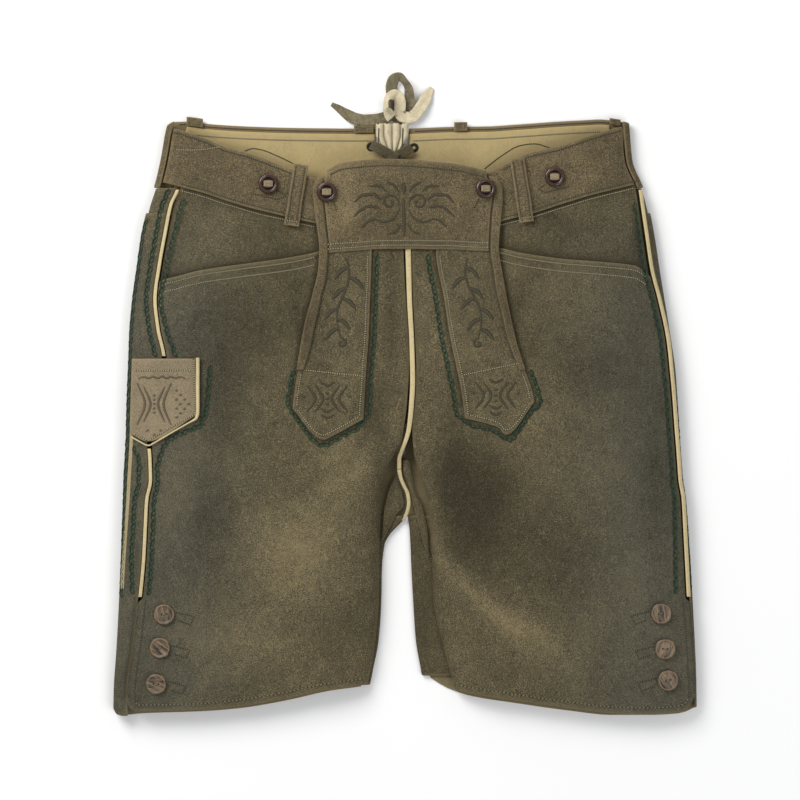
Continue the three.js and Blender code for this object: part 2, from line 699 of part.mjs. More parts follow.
// ---- forks beside the crotch seam and the turned inner edges of the legs --------------------------
[['crotch_fork_right', RIGHT_FORK, 'out', 'in'], ['crotch_fork_left', LEFT_FORK, 'in', 'out']].forEach(
  ([name, fork, from, to]) => {
    add(name, wall((u, v) => {
      const y = mix(fork.low, fork.high, v);
      const dome = 1.5 * (1 - (2 * u - 1) ** 2);
      return new THREE.Vector3(mix(fork[from](y), fork[to](y), u), y, fork.z(y) + dome);
    }, even(4), even(12), THIN), FINISH.suede);
  },
);
const LEG_TOP = -97; // upper end of the turned inner edges
HALVES.forEach((half) => {
  const { name, side } = half;
  const surface = (t, v) => {
    const hem = (x) => HEM.back(x);
    let y = hem(BACK_INNER[name](-270));
    for (let pass = 0; pass < 4; pass += 1) {
      y = hem(BACK_INNER[name](y));
    }
    y = mix(y, LEG_TOP, v);
    const outline = BACK_INNER[name](y);
    const reach = half.fold(y) + side * 4;
    const bend = outline + side * TURN;
    if (t <= 1) {
      return new THREE.Vector3(mix(outline + side * TURN_LAND, bend, t), y, 0);
    }
    if (t <= 2) {
      const angle = Math.PI * (t - 1);
      return new THREE.Vector3(bend - side * TURN * Math.sin(angle), y, TURN * (1 - Math.cos(angle)));
    }
    return new THREE.Vector3(mix(bend, reach, t - 2), y, 2 * TURN);
  };
  const steps = [0, 1, 1.25, 1.5, 1.75, 2, 2.5, 3];
  add(`inner_edge_${name}`, wall(side < 0 ? (t, v) => surface(t, 1 - v) : surface, steps, even(13), SUEDE),
    FINISH.suede);
});

// ---- pockets at the sides -------------------------------------------------------------------------
const knifeCut = cut(KNIFE_POCKET.out, KNIFE_POCKET.in, (x, u) => KNIFE_POCKET_TIP.y(u), () => 54);
const knifePocket = wall((u, v) => onFront(...knifeCut(u, v), LIFT.pocket + SUEDE), even(7), even(6), SUEDE);
add('knife_pocket', knifePocket, FINISH.pocket);
add('knife_pocket_piping', wall((u, v) => {
  const t = 2 * v;
  const x = t < 1 ? KNIFE_POCKET.in(0) + 1.9 : mix(KNIFE_POCKET.in(0) + 1.9, -236.5, t - 1);
  const y = t < 1 ? mix(54, -1, t) : mix(-1, -27, t - 1);
  const side = 1.3 * (2 * u - 1);
  return t < 1 ? onFront(x + side, y, LIFT.pocket + 1.2) : onFront(x - 0.35 * side, y - side, LIFT.pocket + 1.2);
}, [1, 0], even(10), THIN), FINISH.piping);

// ---- belt loops -----------------------------------------------------------------------------------
FRONT_LOOPS.forEach(([name, top, low]) => {
  const run = new THREE.Vector2(top[0] - low[0], top[1] - low[1]).normalize();
  add(name, wall((u, v) => {
    const side = LOOP_WIDTH * (u - 0.5);
    const x = mix(low[0], top[0], v) + side * run.y;
    const y = mix(low[1], top[1], v) - side * run.x;
    const arch = LOOP_ARCH * Math.sin(Math.PI * v) ** 0.6;
    return onFront(x, y, LIFT.loop + SUEDE + arch);
  }, even(2), even(8), SUEDE), FINISH.suede);
});
BACK_LOOPS.forEach(([name, middle, width, rise]) => {
  add(name, wall((u, v) => {
    const x = middle + width * (u - 0.5);
    const edge = WAIST.backTop(x);
    const y = mix(edge - 4, edge + rise, v);
    return new THREE.Vector3(x, y, 6.4 - 1.6 * v * v);
  }, even(2), even(4), SUEDE), FINISH.suede);
});

// ---- buttons --------------------------------------------------------------------------------------
// A turned button on the front's outer face, its underside `out` above it.
function button(name, profile, x, y, out, material) {
  const mesh = add(name, new THREE.LatheGeometry(profile.map((p) => new THREE.Vector2(...p)), 28), material);
  const foot = onFront(x, y, out);
  const normal = onFront(x, y, out + 1).sub(foot).normalize();
  mesh.position.copy(foot);
  mesh.quaternion.setFromUnitVectors(new THREE.Vector3(0, 1, 0), normal);
}
const HORN_PROFILE = [
  [0, 0],
  [HORN_RADIUS - 1.2, 0],
  [HORN_RADIUS, 1.2],
  [HORN_RADIUS - 0.5, 2.6],
  [HORN_RADIUS - 2, 3],
  [HORN_RADIUS - 3.4, 2.3],
  [0, 2.1],
];
const RING_PROFILE = [
  [0, 0],
  [RING_RADIUS - 1.6, 0],
  [RING_RADIUS, 1.7],
  [RING_RADIUS - 0.6, 3.3],
  [RING_RADIUS - 2.2, 4],
  [RING_RADIUS - 4, 2.9],
  [0, 2.2],
];
HORN_BUTTONS.forEach(([name, x, y]) => button(name, HORN_PROFILE, x, y, 0.9, FINISH.horn));
RING_BUTTONS.forEach(([name, x, y, out]) => button(name, RING_PROFILE, x, y, out + 0.5, FINISH.ring));

// ---- lace ends ------------------------------------------------------------------------------------
// A flat lace along a route; each row's tilt turns its width out of the table.
function lace(route, taperFrom) {
  const keys = route.map((row, i) => i);
  const at = [0, 1, 2, 3].map((c) => smooth(keys, route.map((row) => row[c])));
  const last = route.length - 1;
  return wall((u, v) => {
    const t = v * last;
    const step = 0.05;
    const dx = at[0](Math.min(t + step, last)) - at[0](Math.max(t - step, 0));
    const dy = at[1](Math.min(t + step, last)) - at[1](Math.max(t - step, 0));
    const length = Math.hypot(dx, dy);
    const tilt = THREE.MathUtils.degToRad(at[3](t));
    const taper = t > taperFrom ? 1 - 0.7 * ((t - taperFrom) / (last - taperFrom)) : 1;
    const side = (u - 0.5) * LACE_WIDTH * taper;
    const x = at[0](t) + (side * Math.cos(tilt) * dy) / length;
    const y = at[1](t) - (side * Math.cos(tilt) * dx) / length;
    const low = (LACE_WIDTH / 2) * Math.abs(Math.sin(tilt));
    return new THREE.Vector3(x, y, LACE + at[2](t) - 1 + low + side * Math.sin(tilt));
  }, [0, 0.5, 1], even(36), LACE);
}
add('tie_short', lace(TIE_SHORT, 13.5), FINISH.lace);
add('tie_long', lace(TIE_LONG, 15.5), FINISH.lace);

export default garment;
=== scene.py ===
"""Looks of a pair of short suede lederhosen, lying flat on a table with the front up.

Tables and functions are in millimetres, finished meshes in metres.
X runs towards the wearer's left, Y towards the waist, Z up from the table.
"""

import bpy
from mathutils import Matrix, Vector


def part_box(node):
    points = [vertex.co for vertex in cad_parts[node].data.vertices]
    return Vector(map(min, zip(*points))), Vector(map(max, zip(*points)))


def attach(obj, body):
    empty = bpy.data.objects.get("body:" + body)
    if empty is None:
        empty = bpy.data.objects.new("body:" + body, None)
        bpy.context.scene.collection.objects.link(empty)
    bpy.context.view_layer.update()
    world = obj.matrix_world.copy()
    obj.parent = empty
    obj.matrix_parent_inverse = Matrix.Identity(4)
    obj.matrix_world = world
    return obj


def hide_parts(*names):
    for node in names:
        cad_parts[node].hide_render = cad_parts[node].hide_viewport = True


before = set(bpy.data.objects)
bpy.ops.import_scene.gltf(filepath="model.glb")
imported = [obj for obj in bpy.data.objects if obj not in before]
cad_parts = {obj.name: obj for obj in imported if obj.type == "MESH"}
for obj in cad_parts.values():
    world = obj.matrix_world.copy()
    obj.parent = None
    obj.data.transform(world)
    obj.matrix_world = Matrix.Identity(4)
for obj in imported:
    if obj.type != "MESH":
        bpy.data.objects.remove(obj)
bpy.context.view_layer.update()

from types import SimpleNamespace

import bpy
import numpy as np
from mathutils import Vector

bl_info = {
    "name": "Short suede lederhosen",
    "version": (1, 0, 0),
    "blender": (4, 5, 0),
    "location": "3D View > Sidebar > Lederhosen",
    "description": "Builds the suede, seams, embroidery, buttons and laces of a pair of short lederhosen",
    "category": "Object",
}

MM = 0.001
BODY = "root"

# ---- sizes of the cut and the drape ---------------------------------------------------------------
SEAM = 0.3  # gap between pieces at a seam
PIPING_HALF = 2.1
EDGE_FLAT = 5.4  # height of the front's inner fold above the table
INNER_ROLL = 46.0  # width over which a leg falls to its inner fold
CURL = 10.0  # width over which the back curls up from the table
ROLL_POWER = 2.4
ROLL_RISE = 2.2
TURN = 2.3  # radius of the back's turned inner edge
TURN_LAND = 6.0
LACE_WIDTH = 10.5
HORN_RADIUS = 10.2
RING_RADIUS = 9.8
FACING_DROP = 2.6
FACING_END = 62.0
BAND_INSET = {"front": 7.4, "back": 5.4}
LOOP_WIDTH = 13.4
LOOP_ARCH = 1.4
PROUD = 1.15  # piping stands this far above the leather beside it
LIFT = {"strip": 0.5, "flap": 2.6, "binding": 3.0, "pocket": 1.4, "loop": 1.1}
YOKE_SEAM = 190.0
YOKE_TOP = 213.0
YOKE_INSET = 2.2
FLAP_INSET = 1.5
LEG_TOP = -97.0
LINING_LOW = 188.0
LINING_DROP = 5.0
LINING_INSET = 19.0
VENT_TOP = -167.0  # the side seams open below this height
VENT_LAP = 5.0  # the front laps this far over the back there


def mix(a, b, t):
    """Straight blend from a at t = 0 to b at t = 1."""
    return a + (b - a) * t


def ease(t):
    """Smooth step: 0 below 0, 1 above 1, three t squared less two t cubed between."""
    t = np.clip(t, 0.0, 1.0)
    return t * t * (3.0 - 2.0 * t)


def smooth(keys, values):
    """Cubic curve through the rows whose slope at each row is the harmonic mean of its two secants, or 0 at a turn."""
    keys = np.asarray(keys, float)
    values = np.asarray(values, float)
    secant = np.diff(values) / np.diff(keys)
    before = np.concatenate([secant[:1], secant])
    after = np.concatenate([secant, secant[-1:]])
    total = np.where(before + after == 0.0, 1.0, before + after)
    slope = np.where(before * after <= 0.0, 0.0, 2.0 * before * after / total)

    def at(key):
        key = np.clip(np.asarray(key, float), keys[0], keys[-1])
        low = np.clip(np.searchsorted(keys, key, side="right") - 1, 0, len(keys) - 2)
        step = keys[low + 1] - keys[low]
        t = (key - keys[low]) / step
        rise = (1 - t) ** 2 * (values[low] * (1 + 2 * t) + slope[low] * step * t)
        return rise + t * t * (values[low + 1] * (3 - 2 * t) - slope[low + 1] * step * (1 - t))

    return at


def columns(names, rows):
    """A table as one smooth function for each named column, read by its first column."""
    rows = np.array(sorted(rows), float)
    table = {"low": rows[0, 0], "high": rows[-1, 0]}
    for place, name in enumerate(names.split()[1:], start=1):
        table[name] = smooth(rows[:, 0], rows[:, place])
    return SimpleNamespace(**table)


# ---- shape tables ---------------------------------------------------------------------------------
# silhouette, side piping and inner fold of each half, from the waist to the hem
RIGHT_HALF = columns("y outline piping fold", [
    (280, -219, -214, -2),
    (267, -223, -216, -2),
    (239, -228, -217, -2),
    (214, -234, -211, -2),
    (197, -239.5, -217.5, -2),
    (169.5, -246, -223, -2),
    (141.5, -250, -228, -1),
    (109, -254.5, -232, 1),
    (81, -257, -229, 3),
    (53, -258, -223.5, 4),
    (16, -259.5, -229, 2),
    (-3, -260, -233.5, 0),
    (-23, -260.5, -237.5, -3),
    (-40, -261.5, -236.5, -12.5),
    (-58.5, -262.5, -236, -18.5),
    (-77, -263, -239.5, -21.5),
    (-105, -264, -241, -23),
    (-133, -265, -242.5, -23.5),
    (-170, -266.5, -246, -24),
    (-216.5, -269, -251, -28),
    (-254, -271.5, -256, -35.5),
    (-280, -272, -256, -41),
])
LEFT_HALF = columns("y outline piping fold", [
    (280, 208.5, 205.5, 5.5),
    (267, 209.5, 207.5, 5.5),
    (239, 212, 210, 5.5),
    (214, 222, 218, 5.5),
    (197, 227, 220.5, 5.5),
    (169.5, 232.5, 224.5, 6),
    (136.5, 237.5, 229.5, 6.5),
    (109, 242, 236.5, 7.5),
    (71.5, 248, 244.5, 9.5),
    (43.5, 252, 247.5, 10.5),
    (16, 254, 250, 9.5),
    (-12, 255.8, 252, 6.5),
    (-30.5, 257, 253.5, 7.5),
    (-44.5, 258, 254.5, 10),
    (-58.5, 259.2, 255.5, 15),
    (-77, 262, 258.5, 20.5),
    (-105, 264, 260, 23),
    (-133, 266, 261.5, 25),
    (-170, 268, 263.5, 26),
    (-207.5, 270, 266.5, 33.5),
    (-244.5, 271.5, 268.5, 43.5),
    (-280, 272, 269, 52),
])
# height of the front over the table, height of the outer fold, width of the outer roll,
# and how far the inner edge has fallen from the crown
DRAPE = columns("y crown edge roll fall", [
    (280, 17, 6, 30, 0),
    (215, 19, 6.5, 40, 0),
    (110, 23, 7, 60, 0),
    (10, 26, 7.5, 72, 0),
    (-22, 27, 7.5, 74, 0.16),
    (-48, 27, 7.5, 74, 0.62),
    (-78, 27, 7.5, 74, 0.93),
    (-105, 26.5, 7.5, 74, 1),
    (-180, 25, 7.5, 70, 1),
    (-280, 20, 7, 60, 1),
])
BACK_INNER = columns("y right left", [
    (-96, -1, 3),
    (-102.5, -7.5, 4),
    (-109.5, -14, 4.5),
    (-119, -19, 5),
    (-142.5, -21.5, 6),
    (-170, -22, 7.5),
    (-207.5, -24.5, 10),
    (-237, -30, 15),
    (-254, -33.5, 17.5),
    (-280, -40, 21.5),
])
HEM = columns("x front back", [
    (-276, -262, -264),
    (-268, -267, -277),
    (-261, -272, -278),
    (-246.5, -273.5, -276.5),
    (-190.5, -272, -274.6),
    (-153.5, -268.5, -271.6),
    (-111.5, -261.5, -264.6),
    (-70, -253, -255.4),
    (-36, -249.5, -250.6),
    (4, -249, -240),
    (20, -251, -242),
    (38, -253, -252),
    (60.5, -257, -260),
    (107, -264, -267.5),
    (153.5, -270.5, -274),
    (192.5, -275, -278),
    (228, -276, -278),
    (256, -274, -276.5),
    (272.5, -262, -270),
])
WAIST = columns("x back_top band_top band_seam", [
    (-228, 269, 268, 219),
    (-221.5, 272.5, 268.3, 217.5),
    (-214, 275.3, 268, 215.5),
    (-203.5, 275.5, 265, 212.5),
    (-186, 273.5, 259, 208),
    (-167.5, 272, 251, 201.5),
    (-144, 270.8, 244.5, 194.5),
    (-107, 269.6, 230.5, 185.5),
    (-79, 269.2, 220.5, 179),
    (-51, 269, 214, 173.5),
    (0, 269, 211, 169.5),
    (42, 270.5, 215, 171),
    (79, 271, 228, 179.5),
    (101.5, 272.5, 239, 185),
    (116, 273.5, 245.5, 188.5),
    (144, 275.5, 252, 197.5),
    (172, 277, 261.5, 206),
    (181.5, 277.5, 264.5, 208.5),
    (200, 275.5, 269.5, 213),
    (215, 273, 272, 217),
])
POCKET_MOUTH = columns("x y", [
    (-237, 119),
    (-230.5, 124.5),
    (-222.5, 128),
    (-214, 130),
    (-190.5, 136),
    (-153.5, 141.5),
    (-107, 148),
    (-83, 153),
    (-65, 159),
    (-42, 162),
    (0, 163),
    (42, 162),
    (70, 160),
    (88.5, 157),
    (102.5, 153.5),
    (125.5, 149.5),
    (144, 147),
    (181.5, 144),
    (214, 140.5),
    (223, 135),
    (232.5, 126.5),
    (242, 118),
])
FLAP_EDGE = columns("x top low", [
    (-86, 210, 151),
    (-83.5, 216.5, 151.5),
    (-79, 223, 152),
    (-70, 230.5, 152.5),
    (-56, 236.5, 153.5),
    (-14, 239.5, 156),
    (42, 235.5, 155.5),
    (70, 230, 154),
    (81, 227, 153.5),
    (87.5, 221.5, 153),
    (91, 212, 152.5),
])
STRIPS = columns("y right_out right_in left_in left_out", [
    (170, -77, -31, 29, 85.5),
    (155.5, -79, -31, 29, 86.5),
    (109, -82.5, -32.5, 36.5, 91),
    (71.5, -90, -34, 42.5, 98.5),
    (47.5, -98, -36, 47.5, 109.5),
    (14, -103.5, -38, 54, 120),
    (-22, -106, -39, 57.5, 122),
])
BINDINGS = columns("y right_out right_in left_in left_out", [
    (224, -80.5, -73.5, 77, 84.5),
    (211, -86, -77.5, 82.5, 91),
    (183, -83, -74.5, 80.5, 89.5),
    (155.5, -79.5, -71.5, 79, 87.5),
    (133, -81.5, -73.5, 82, 90.5),
    (109, -87, -78.5, 86.5, 95),
    (71.5, -96, -87, 95.5, 103),
    (43.5, -100.5, -93.5, 106, 112),
])
STRIP_TIP = columns("share right left", [
    (0, 7.5, -1),
    (0.46, -21, -9.5),
    (0.56, -18, -16.5),
    (1, -2, 14),
])
CENTRE_SEAM = columns("y x half z", [
    (204, 1.8, 3.2, 1),
    (109, 4.2, 2.6, 1),
    (71, 6.2, 2.5, 1),
    (34.5, 7.1, 2.6, 1),
    (6.5, 5.6, 2.5, 0.8),
    (-12, 3.4, 2.4, 0.2),
    (-21.5, 0.8, 2.3, -0.8),
    (-30.5, -2.6, 2.2, -1.6),
    (-40, -5.4, 2.2, -2.2),
    (-49.5, -5.4, 2.2, -2.6),
])
CROTCH_SEAM = columns("y x half z", [
    (-50.4, -5.3, 2.2, 11.6),
    (-56.5, -4, 2.1, 11),
    (-64, -1, 2.1, 10.4),
    (-70.5, 2.2, 2.1, 9.8),
    (-80, 3.5, 2, 8.8),
    (-88.5, 2, 2, 7.6),
    (-96.5, -1.6, 1.8, 5.8),
])
RIGHT_FORK = columns("y out inn z", [
    (-56, -9, -7, 7),
    (-62.5, -12.6, -5, 7),
    (-72.5, -16.3, -2.2, 6.8),
    (-80, -18, -0.6, 6.6),
    (-84.5, -19.2, -1.6, 6.5),
    (-89, -19.7, -7, 6.4),
    (-96, -20.4, -10.5, 6.4),
    (-107, -21.4, -16, 6.4),
    (-115, -22, -20.5, 6.4),
])
LEFT_FORK = columns("y out inn z", [
    (-40, 4.2, -2.4, 8.8),
    (-49.3, 5.6, -2.2, 8.4),
    (-58.6, 7, 0.6, 8),
    (-66, 8, 4, 7.6),
    (-71.6, 11.2, 5.4, 7.2),
    (-80, 14.9, 6.8, 6.8),
    (-89.3, 17.7, 9.8, 6.5),
    (-100.4, 20.5, 12.6, 6.4),
    (-111.6, 21.7, 15.3, 6.4),
    (-121, 22.4, 18.1, 6.4),
    (-129, 23.3, 21.6, 6.4),
])
KNIFE_POCKET = columns("y out inn", [
    (54, -252.5, -195),
    (2, -254, -193.5),
    (-24, -254.5, -193),
])
KNIFE_POCKET_TIP = columns("share y", [
    (0, -15),
    (0.26, -22.5),
    (1, 2),
])
# route of each free lace end: x, y, z of its middle, and its tilt in degrees
TIE_SHORT = [
    (-12, 278.5, 6.6, 8),
    (-15.5, 282.5, 7.6, 30),
    (-18.3, 287.5, 8.8, 62),
    (-18.2, 293.5, 8.6, 66),
    (-15.4, 298.6, 8.4, 50),
    (-10.4, 300.4, 8, 20),
    (-6, 297.6, 7.4, -8),
    (-4.6, 291.5, 6.6, -10),
    (-5, 285, 5.6, -4),
    (-2.6, 280.4, 5, 0),
    (4.4, 279, 5.4, 0),
    (8.6, 281.2, 6, 0),
    (13.6, 287.2, 5.6, 0),
    (18.2, 294.6, 3.6, 0),
    (21.8, 301.5, 1.8, 0),
    (25, 307.2, 1.2, 0),
]
TIE_LONG = [
    (-9.5, 274.5, 1.3, 0),
    (-4.5, 279.5, 1.3, 0),
    (1, 286.5, 1.4, 10),
    (4, 295, 1.8, 24),
    (3.4, 304, 2.6, 40),
    (-0.4, 312, 3.4, 58),
    (-5.6, 316.4, 3.8, 40),
    (-10.4, 314.2, 3.2, 12),
    (-12.6, 307.6, 2.4, 0),
    (-11.8, 299.4, 1.6, 0),
    (-10.6, 291, 1.2, 0),
    (-13, 283.4, 1.6, 0),
    (-20.5, 278.8, 2.8, 0),
    (-29, 277.2, 3.2, 0),
    (-38, 276.8, 3, 0),
    (-47, 278.6, 2, 0),
    (-55, 283, 1.2, 0),
    (-62, 288, 1.2, 0),
    (-68.5, 292, 1.2, 0),
]
LACE_GAP = {"right": -27.5, "left": 3.5, "foot": -11.5, "low": 241.0}
GUSSET = {"low": 242.0, "high": 273.8, "floor": 4.6, "rise": 3.2, "ribs": 4}
HALVES = {
    "right": SimpleNamespace(name="right", side=-1.0, **vars(RIGHT_HALF)),
    "left": SimpleNamespace(name="left", side=1.0, **vars(LEFT_HALF)),
}
FRONT_LOOPS = {
    "right": ((-96.5, 234.5), (-105.5, 177.5)),
    "left": ((104.0, 240.5), (113.0, 181.0)),
}
# belt loops over the back's top edge: middle, width, rise above the edge
BACK_LOOPS = [(-196.0, 15.0, 4.5), (-38.5, 18.0, 3.0), (52.0, 12.0, 4.5), (196.0, 10.0, 2.2)]

# soft folds of the drape: x, y, half length, half width, direction in degrees, height
FOLDS = [
    (-150, 66, 70, 17, 100, 1.6),
    (-183, 30, 62, 13, 96, -1.5),
    (-120, 20, 55, 16, 84, -1.0),
    (-98, 96, 45, 9, 80, -1.0),
    (-196, 96, 30, 8, 60, 0.9),
    (-205, -60, 60, 12, 98, 1.1),
    (-178, -100, 60, 14, 84, -1.4),
    (-120, -118, 70, 22, 40, 1.7),
    (-60, -36, 44, 9, 32, 1.5),
    (-40, -30, 30, 6, 64, -1.4),
    (-76, -64, 46, 10, 28, -1.1),
    (-30, 30, 44, 7, 96, -0.9),
    (-100, -190, 60, 14, 8, 1.1),
    (-176, -214, 44, 10, 14, 0.9),
    (-60, -160, 50, 12, 66, -1.0),
    (32, -92, 54, 9, 112, 2.2),
    (66, -84, 56, 24, 110, -3.0),
    (72, -170, 62, 11, 140, 2.0),
    (118, -206, 46, 11, 152, 1.5),
    (60, -206, 48, 12, 128, -1.2),
    (150, -140, 70, 22, 70, 1.2),
    (205, -100, 70, 13, 92, -1.4),
    (182, 30, 60, 16, 80, -1.1),
    (140, 20, 54, 14, 104, 1.2),
    (112, 100, 44, 9, 104, -1.0),
    (170, 100, 40, 10, 20, 0.8),
    (28, 40, 44, 8, 84, -1.0),
    (46, -30, 34, 7, 124, 1.2),
    (168, -60, 60, 12, 12, 0.8),
    (200, -200, 40, 9, 100, -0.8),
    (-150, 178, 34, 8, 12, 0.7),
    (-186, 168, 26, 6, 150, -0.7),
    (160, 186, 34, 8, 168, 0.7),
    (196, 170, 24, 6, 20, -0.8),
]
# lighter places, partly rubbed and partly painted highlight along ridges (+), and darker, greener ones, partly painted
# shade (-): x, y, two half widths, direction, amount
WEAR_AND_SHADING = [
    (70, -77, 36, 52, -15, -1.0),
    (110, -120, 60, 40, 0, -0.35),
    (44, -49, 17, 37, -10, -0.7),
    (232, -49, 19, 84, 0, -0.5),
    (181, 44, 56, 37, 0, -0.35),
    (-170, 30, 22, 56, 5, -0.55),
    (-177, -96, 20, 56, 0, -0.35),
    (-98, -124, 46, 42, 20, 0.6),
    (-51, -40, 42, 23, 20, 0.45),
    (-28, -12, 13, 56, 5, -0.5),
    (-12, 109, 9, 65, 0, -0.35),
    (26, -105, 9, 37, 12, 0.55),
    (70, -170, 56, 9, -45, 0.5),
    (126, -207, 37, 11, -35, 0.45),
    (-216, -77, 22, 37, 0, 0.35),
    (-138, 78, 46, 40, 10, -0.5),
    (-149, -207, 46, 28, 10, 0.4),
    (144, -133, 37, 56, 0, -0.2),
    (219, -170, 19, 37, 0, 0.15),
    (-60, 230, 56, 13, 0, 0.35),
    (60, 211, 28, 19, 0, 0.1),
    (-56, 188, 17, 17, 0, 0.35),
    (-167, 188, 28, 23, 0, 0.1),
    (-126, 165, 20, 19, 0, -0.3),
    (144, 179, 32, 19, -10, -0.35),
    (219, 165, 13, 13, 0, -0.6),
    (-51, 16, 24, 37, 0, 0.15),
    (84, 16, 24, 37, 0, 0.2),
    (107, 109, 11, 56, -20, -0.3),
    (-98, 109, 13, 56, 10, -0.3),
    (14, -179, 9, 56, 0, -0.3),
    (-70, -189, 28, 28, 0, -0.15),
]

# ---- the draped front -----------------------------------------------------------------------------
def roll(share):
    """Rise of a rounded roll: a superellipse from 0 at its edge to 1 where the share of its width reaches 1."""
    inside = np.clip(1.0 - share, 0.0, 1.0)
    return (1.0 - inside**ROLL_POWER) ** (1.0 / ROLL_RISE)


def bump(x, y, spot):
    """Bell of height 1: exp of minus the squared distances along and across the spot, each over its width."""
    cx, cy, along, across, turn = spot
    turn = np.radians(turn)
    dx, dy = x - cx, y - cy
    a = (dx * np.cos(turn) + dy * np.sin(turn)) / along
    b = (dy * np.cos(turn) - dx * np.sin(turn)) / across
    return np.exp(-a * a - b * b)


def relief(x, y):
    """Soft folds, slight waviness, the lip of each pocket mouth and the lap of each vent, added to the drape."""
    amount = bpy.context.scene.leder_sizes.fold_strength
    folds = sum(spot[5] * bump(x, y, spot[:5]) for spot in FOLDS)
    waves = 0.34 * np.sin(x / 11.0 + 2.1 * np.sin(y / 37.0)) * np.sin(y / 13.0 + 1.7 * np.sin(x / 29.0))
    waves = waves + 0.22 * np.sin(x / 5.3 + y / 7.9 + 1.3 * np.sin(y / 17.0))
    left = x > 0
    piping = np.where(left, LEFT_HALF.piping(y), RIGHT_HALF.piping(y))
    inside = np.where(left, piping - x, x - piping)
    lying = ease((inside - 2.0) / 24.0) * ease((YOKE_TOP + 14 - y) / 30.0)
    below_mouth = POCKET_MOUTH.y(x) - y
    lip = 1.1 * np.exp(-((below_mouth / 4.2) ** 2)) * (below_mouth >= -0.6) * ease((np.abs(x) - 84.0) / 16.0)
    open_vent = ease((VENT_TOP - y) / 14.0)
    lap = 2.2 * open_vent * ease(1.0 - (inside + 3.0) / 18.0)
    return amount * lying * (folds + waves) + lip * ease(inside / 6.0) + lap


def front_height(x, y):
    """Height of the front's outer face: the outer roll, the fall to the inner fold, and the relief."""
    middle = (RIGHT_HALF.fold(y) + LEFT_HALF.fold(y)) / 2
    left = x > middle
    from_outline = np.where(left, LEFT_HALF.outline(y) - x, x - RIGHT_HALF.outline(y))
    from_fold = np.where(left, x - LEFT_HALF.fold(y), RIGHT_HALF.fold(y) - x)
    edge = DRAPE.edge(y)
    crown = edge + (DRAPE.crown(y) - edge) * roll(from_outline / DRAPE.roll(y))
    fall = 1.0 - DRAPE.fall(y) * (1.0 - roll(from_fold / INNER_ROLL))
    return EDGE_FLAT + (crown - EDGE_FLAT) * fall + relief(x, y)


def on_front(x, y, out=0.0):
    """Point of the front's outer face and its normal, from central differences, moved out along the normal."""
    x, y = np.broadcast_arrays(np.asarray(x, float), np.asarray(y, float))
    probe = 0.5
    slope_x = (front_height(x + probe, y) - front_height(x - probe, y)) / (2 * probe)
    slope_y = (front_height(x, y + probe) - front_height(x, y - probe)) / (2 * probe)
    normal = np.stack([-slope_x, -slope_y, np.ones_like(x)], axis=-1)
    normal /= np.linalg.norm(normal, axis=-1, keepdims=True)
    point = np.stack([x, y, front_height(x, y)], axis=-1)
    return point + normal * np.asarray(out, float)[..., None], normal


def cut(from_x, to_x, low, high, u, v):
    """Grid of a piece between side edges x(y) and cross edges y(x, u), found by fixed-point passes."""

    def meet(edge):
        y = edge((from_x(0.0) + to_x(0.0)) / 2 + 0 * u, u)
        for _ in range(4):
            y = edge(mix(from_x(y), to_x(y), u), u)
        return y

    y = mix(meet(low), meet(high), v)
    return mix(from_x(y), to_x(y), u), y


def steps(length, cell, rim=0.8):
    """Even steps from 0 to 1 about `cell` apart on `length`, with one more line `rim` inside each end."""
    inner = np.linspace(rim / length, 1 - rim / length, max(3, int(round(length / cell))))
    return np.concatenate([[0.0], inner, [1.0]])


def plane(us, vs):
    """The two parameters of a grid as arrays of one shape."""
    return np.meshgrid(us, vs, indexing="ij")


# ---- meshes ---------------------------------------------------------------------------------------
def grid_normals(points):
    """Unit normals of a grid, from the cross product of its two central differences."""
    padded = np.pad(points, ((1, 1), (1, 1), (0, 0)), mode="edge")
    along = padded[2:, 1:-1] - padded[:-2, 1:-1]
    across = padded[1:-1, 2:] - padded[1:-1, :-2]
    normal = np.cross(along, across)
    return normal / np.maximum(np.linalg.norm(normal, axis=-1, keepdims=True), 1e-9)


def run_lengths(points, axis):
    """Distance of each grid point from both ends of its row, measured along the surface."""
    step = np.linalg.norm(np.diff(points, axis=axis), axis=-1)
    pad = [(0, 0), (0, 0)]
    pad[axis] = (1, 0)
    start = np.pad(np.cumsum(step, axis=axis), pad)
    total = np.take(start, [-1], axis=axis)
    return start, total - start


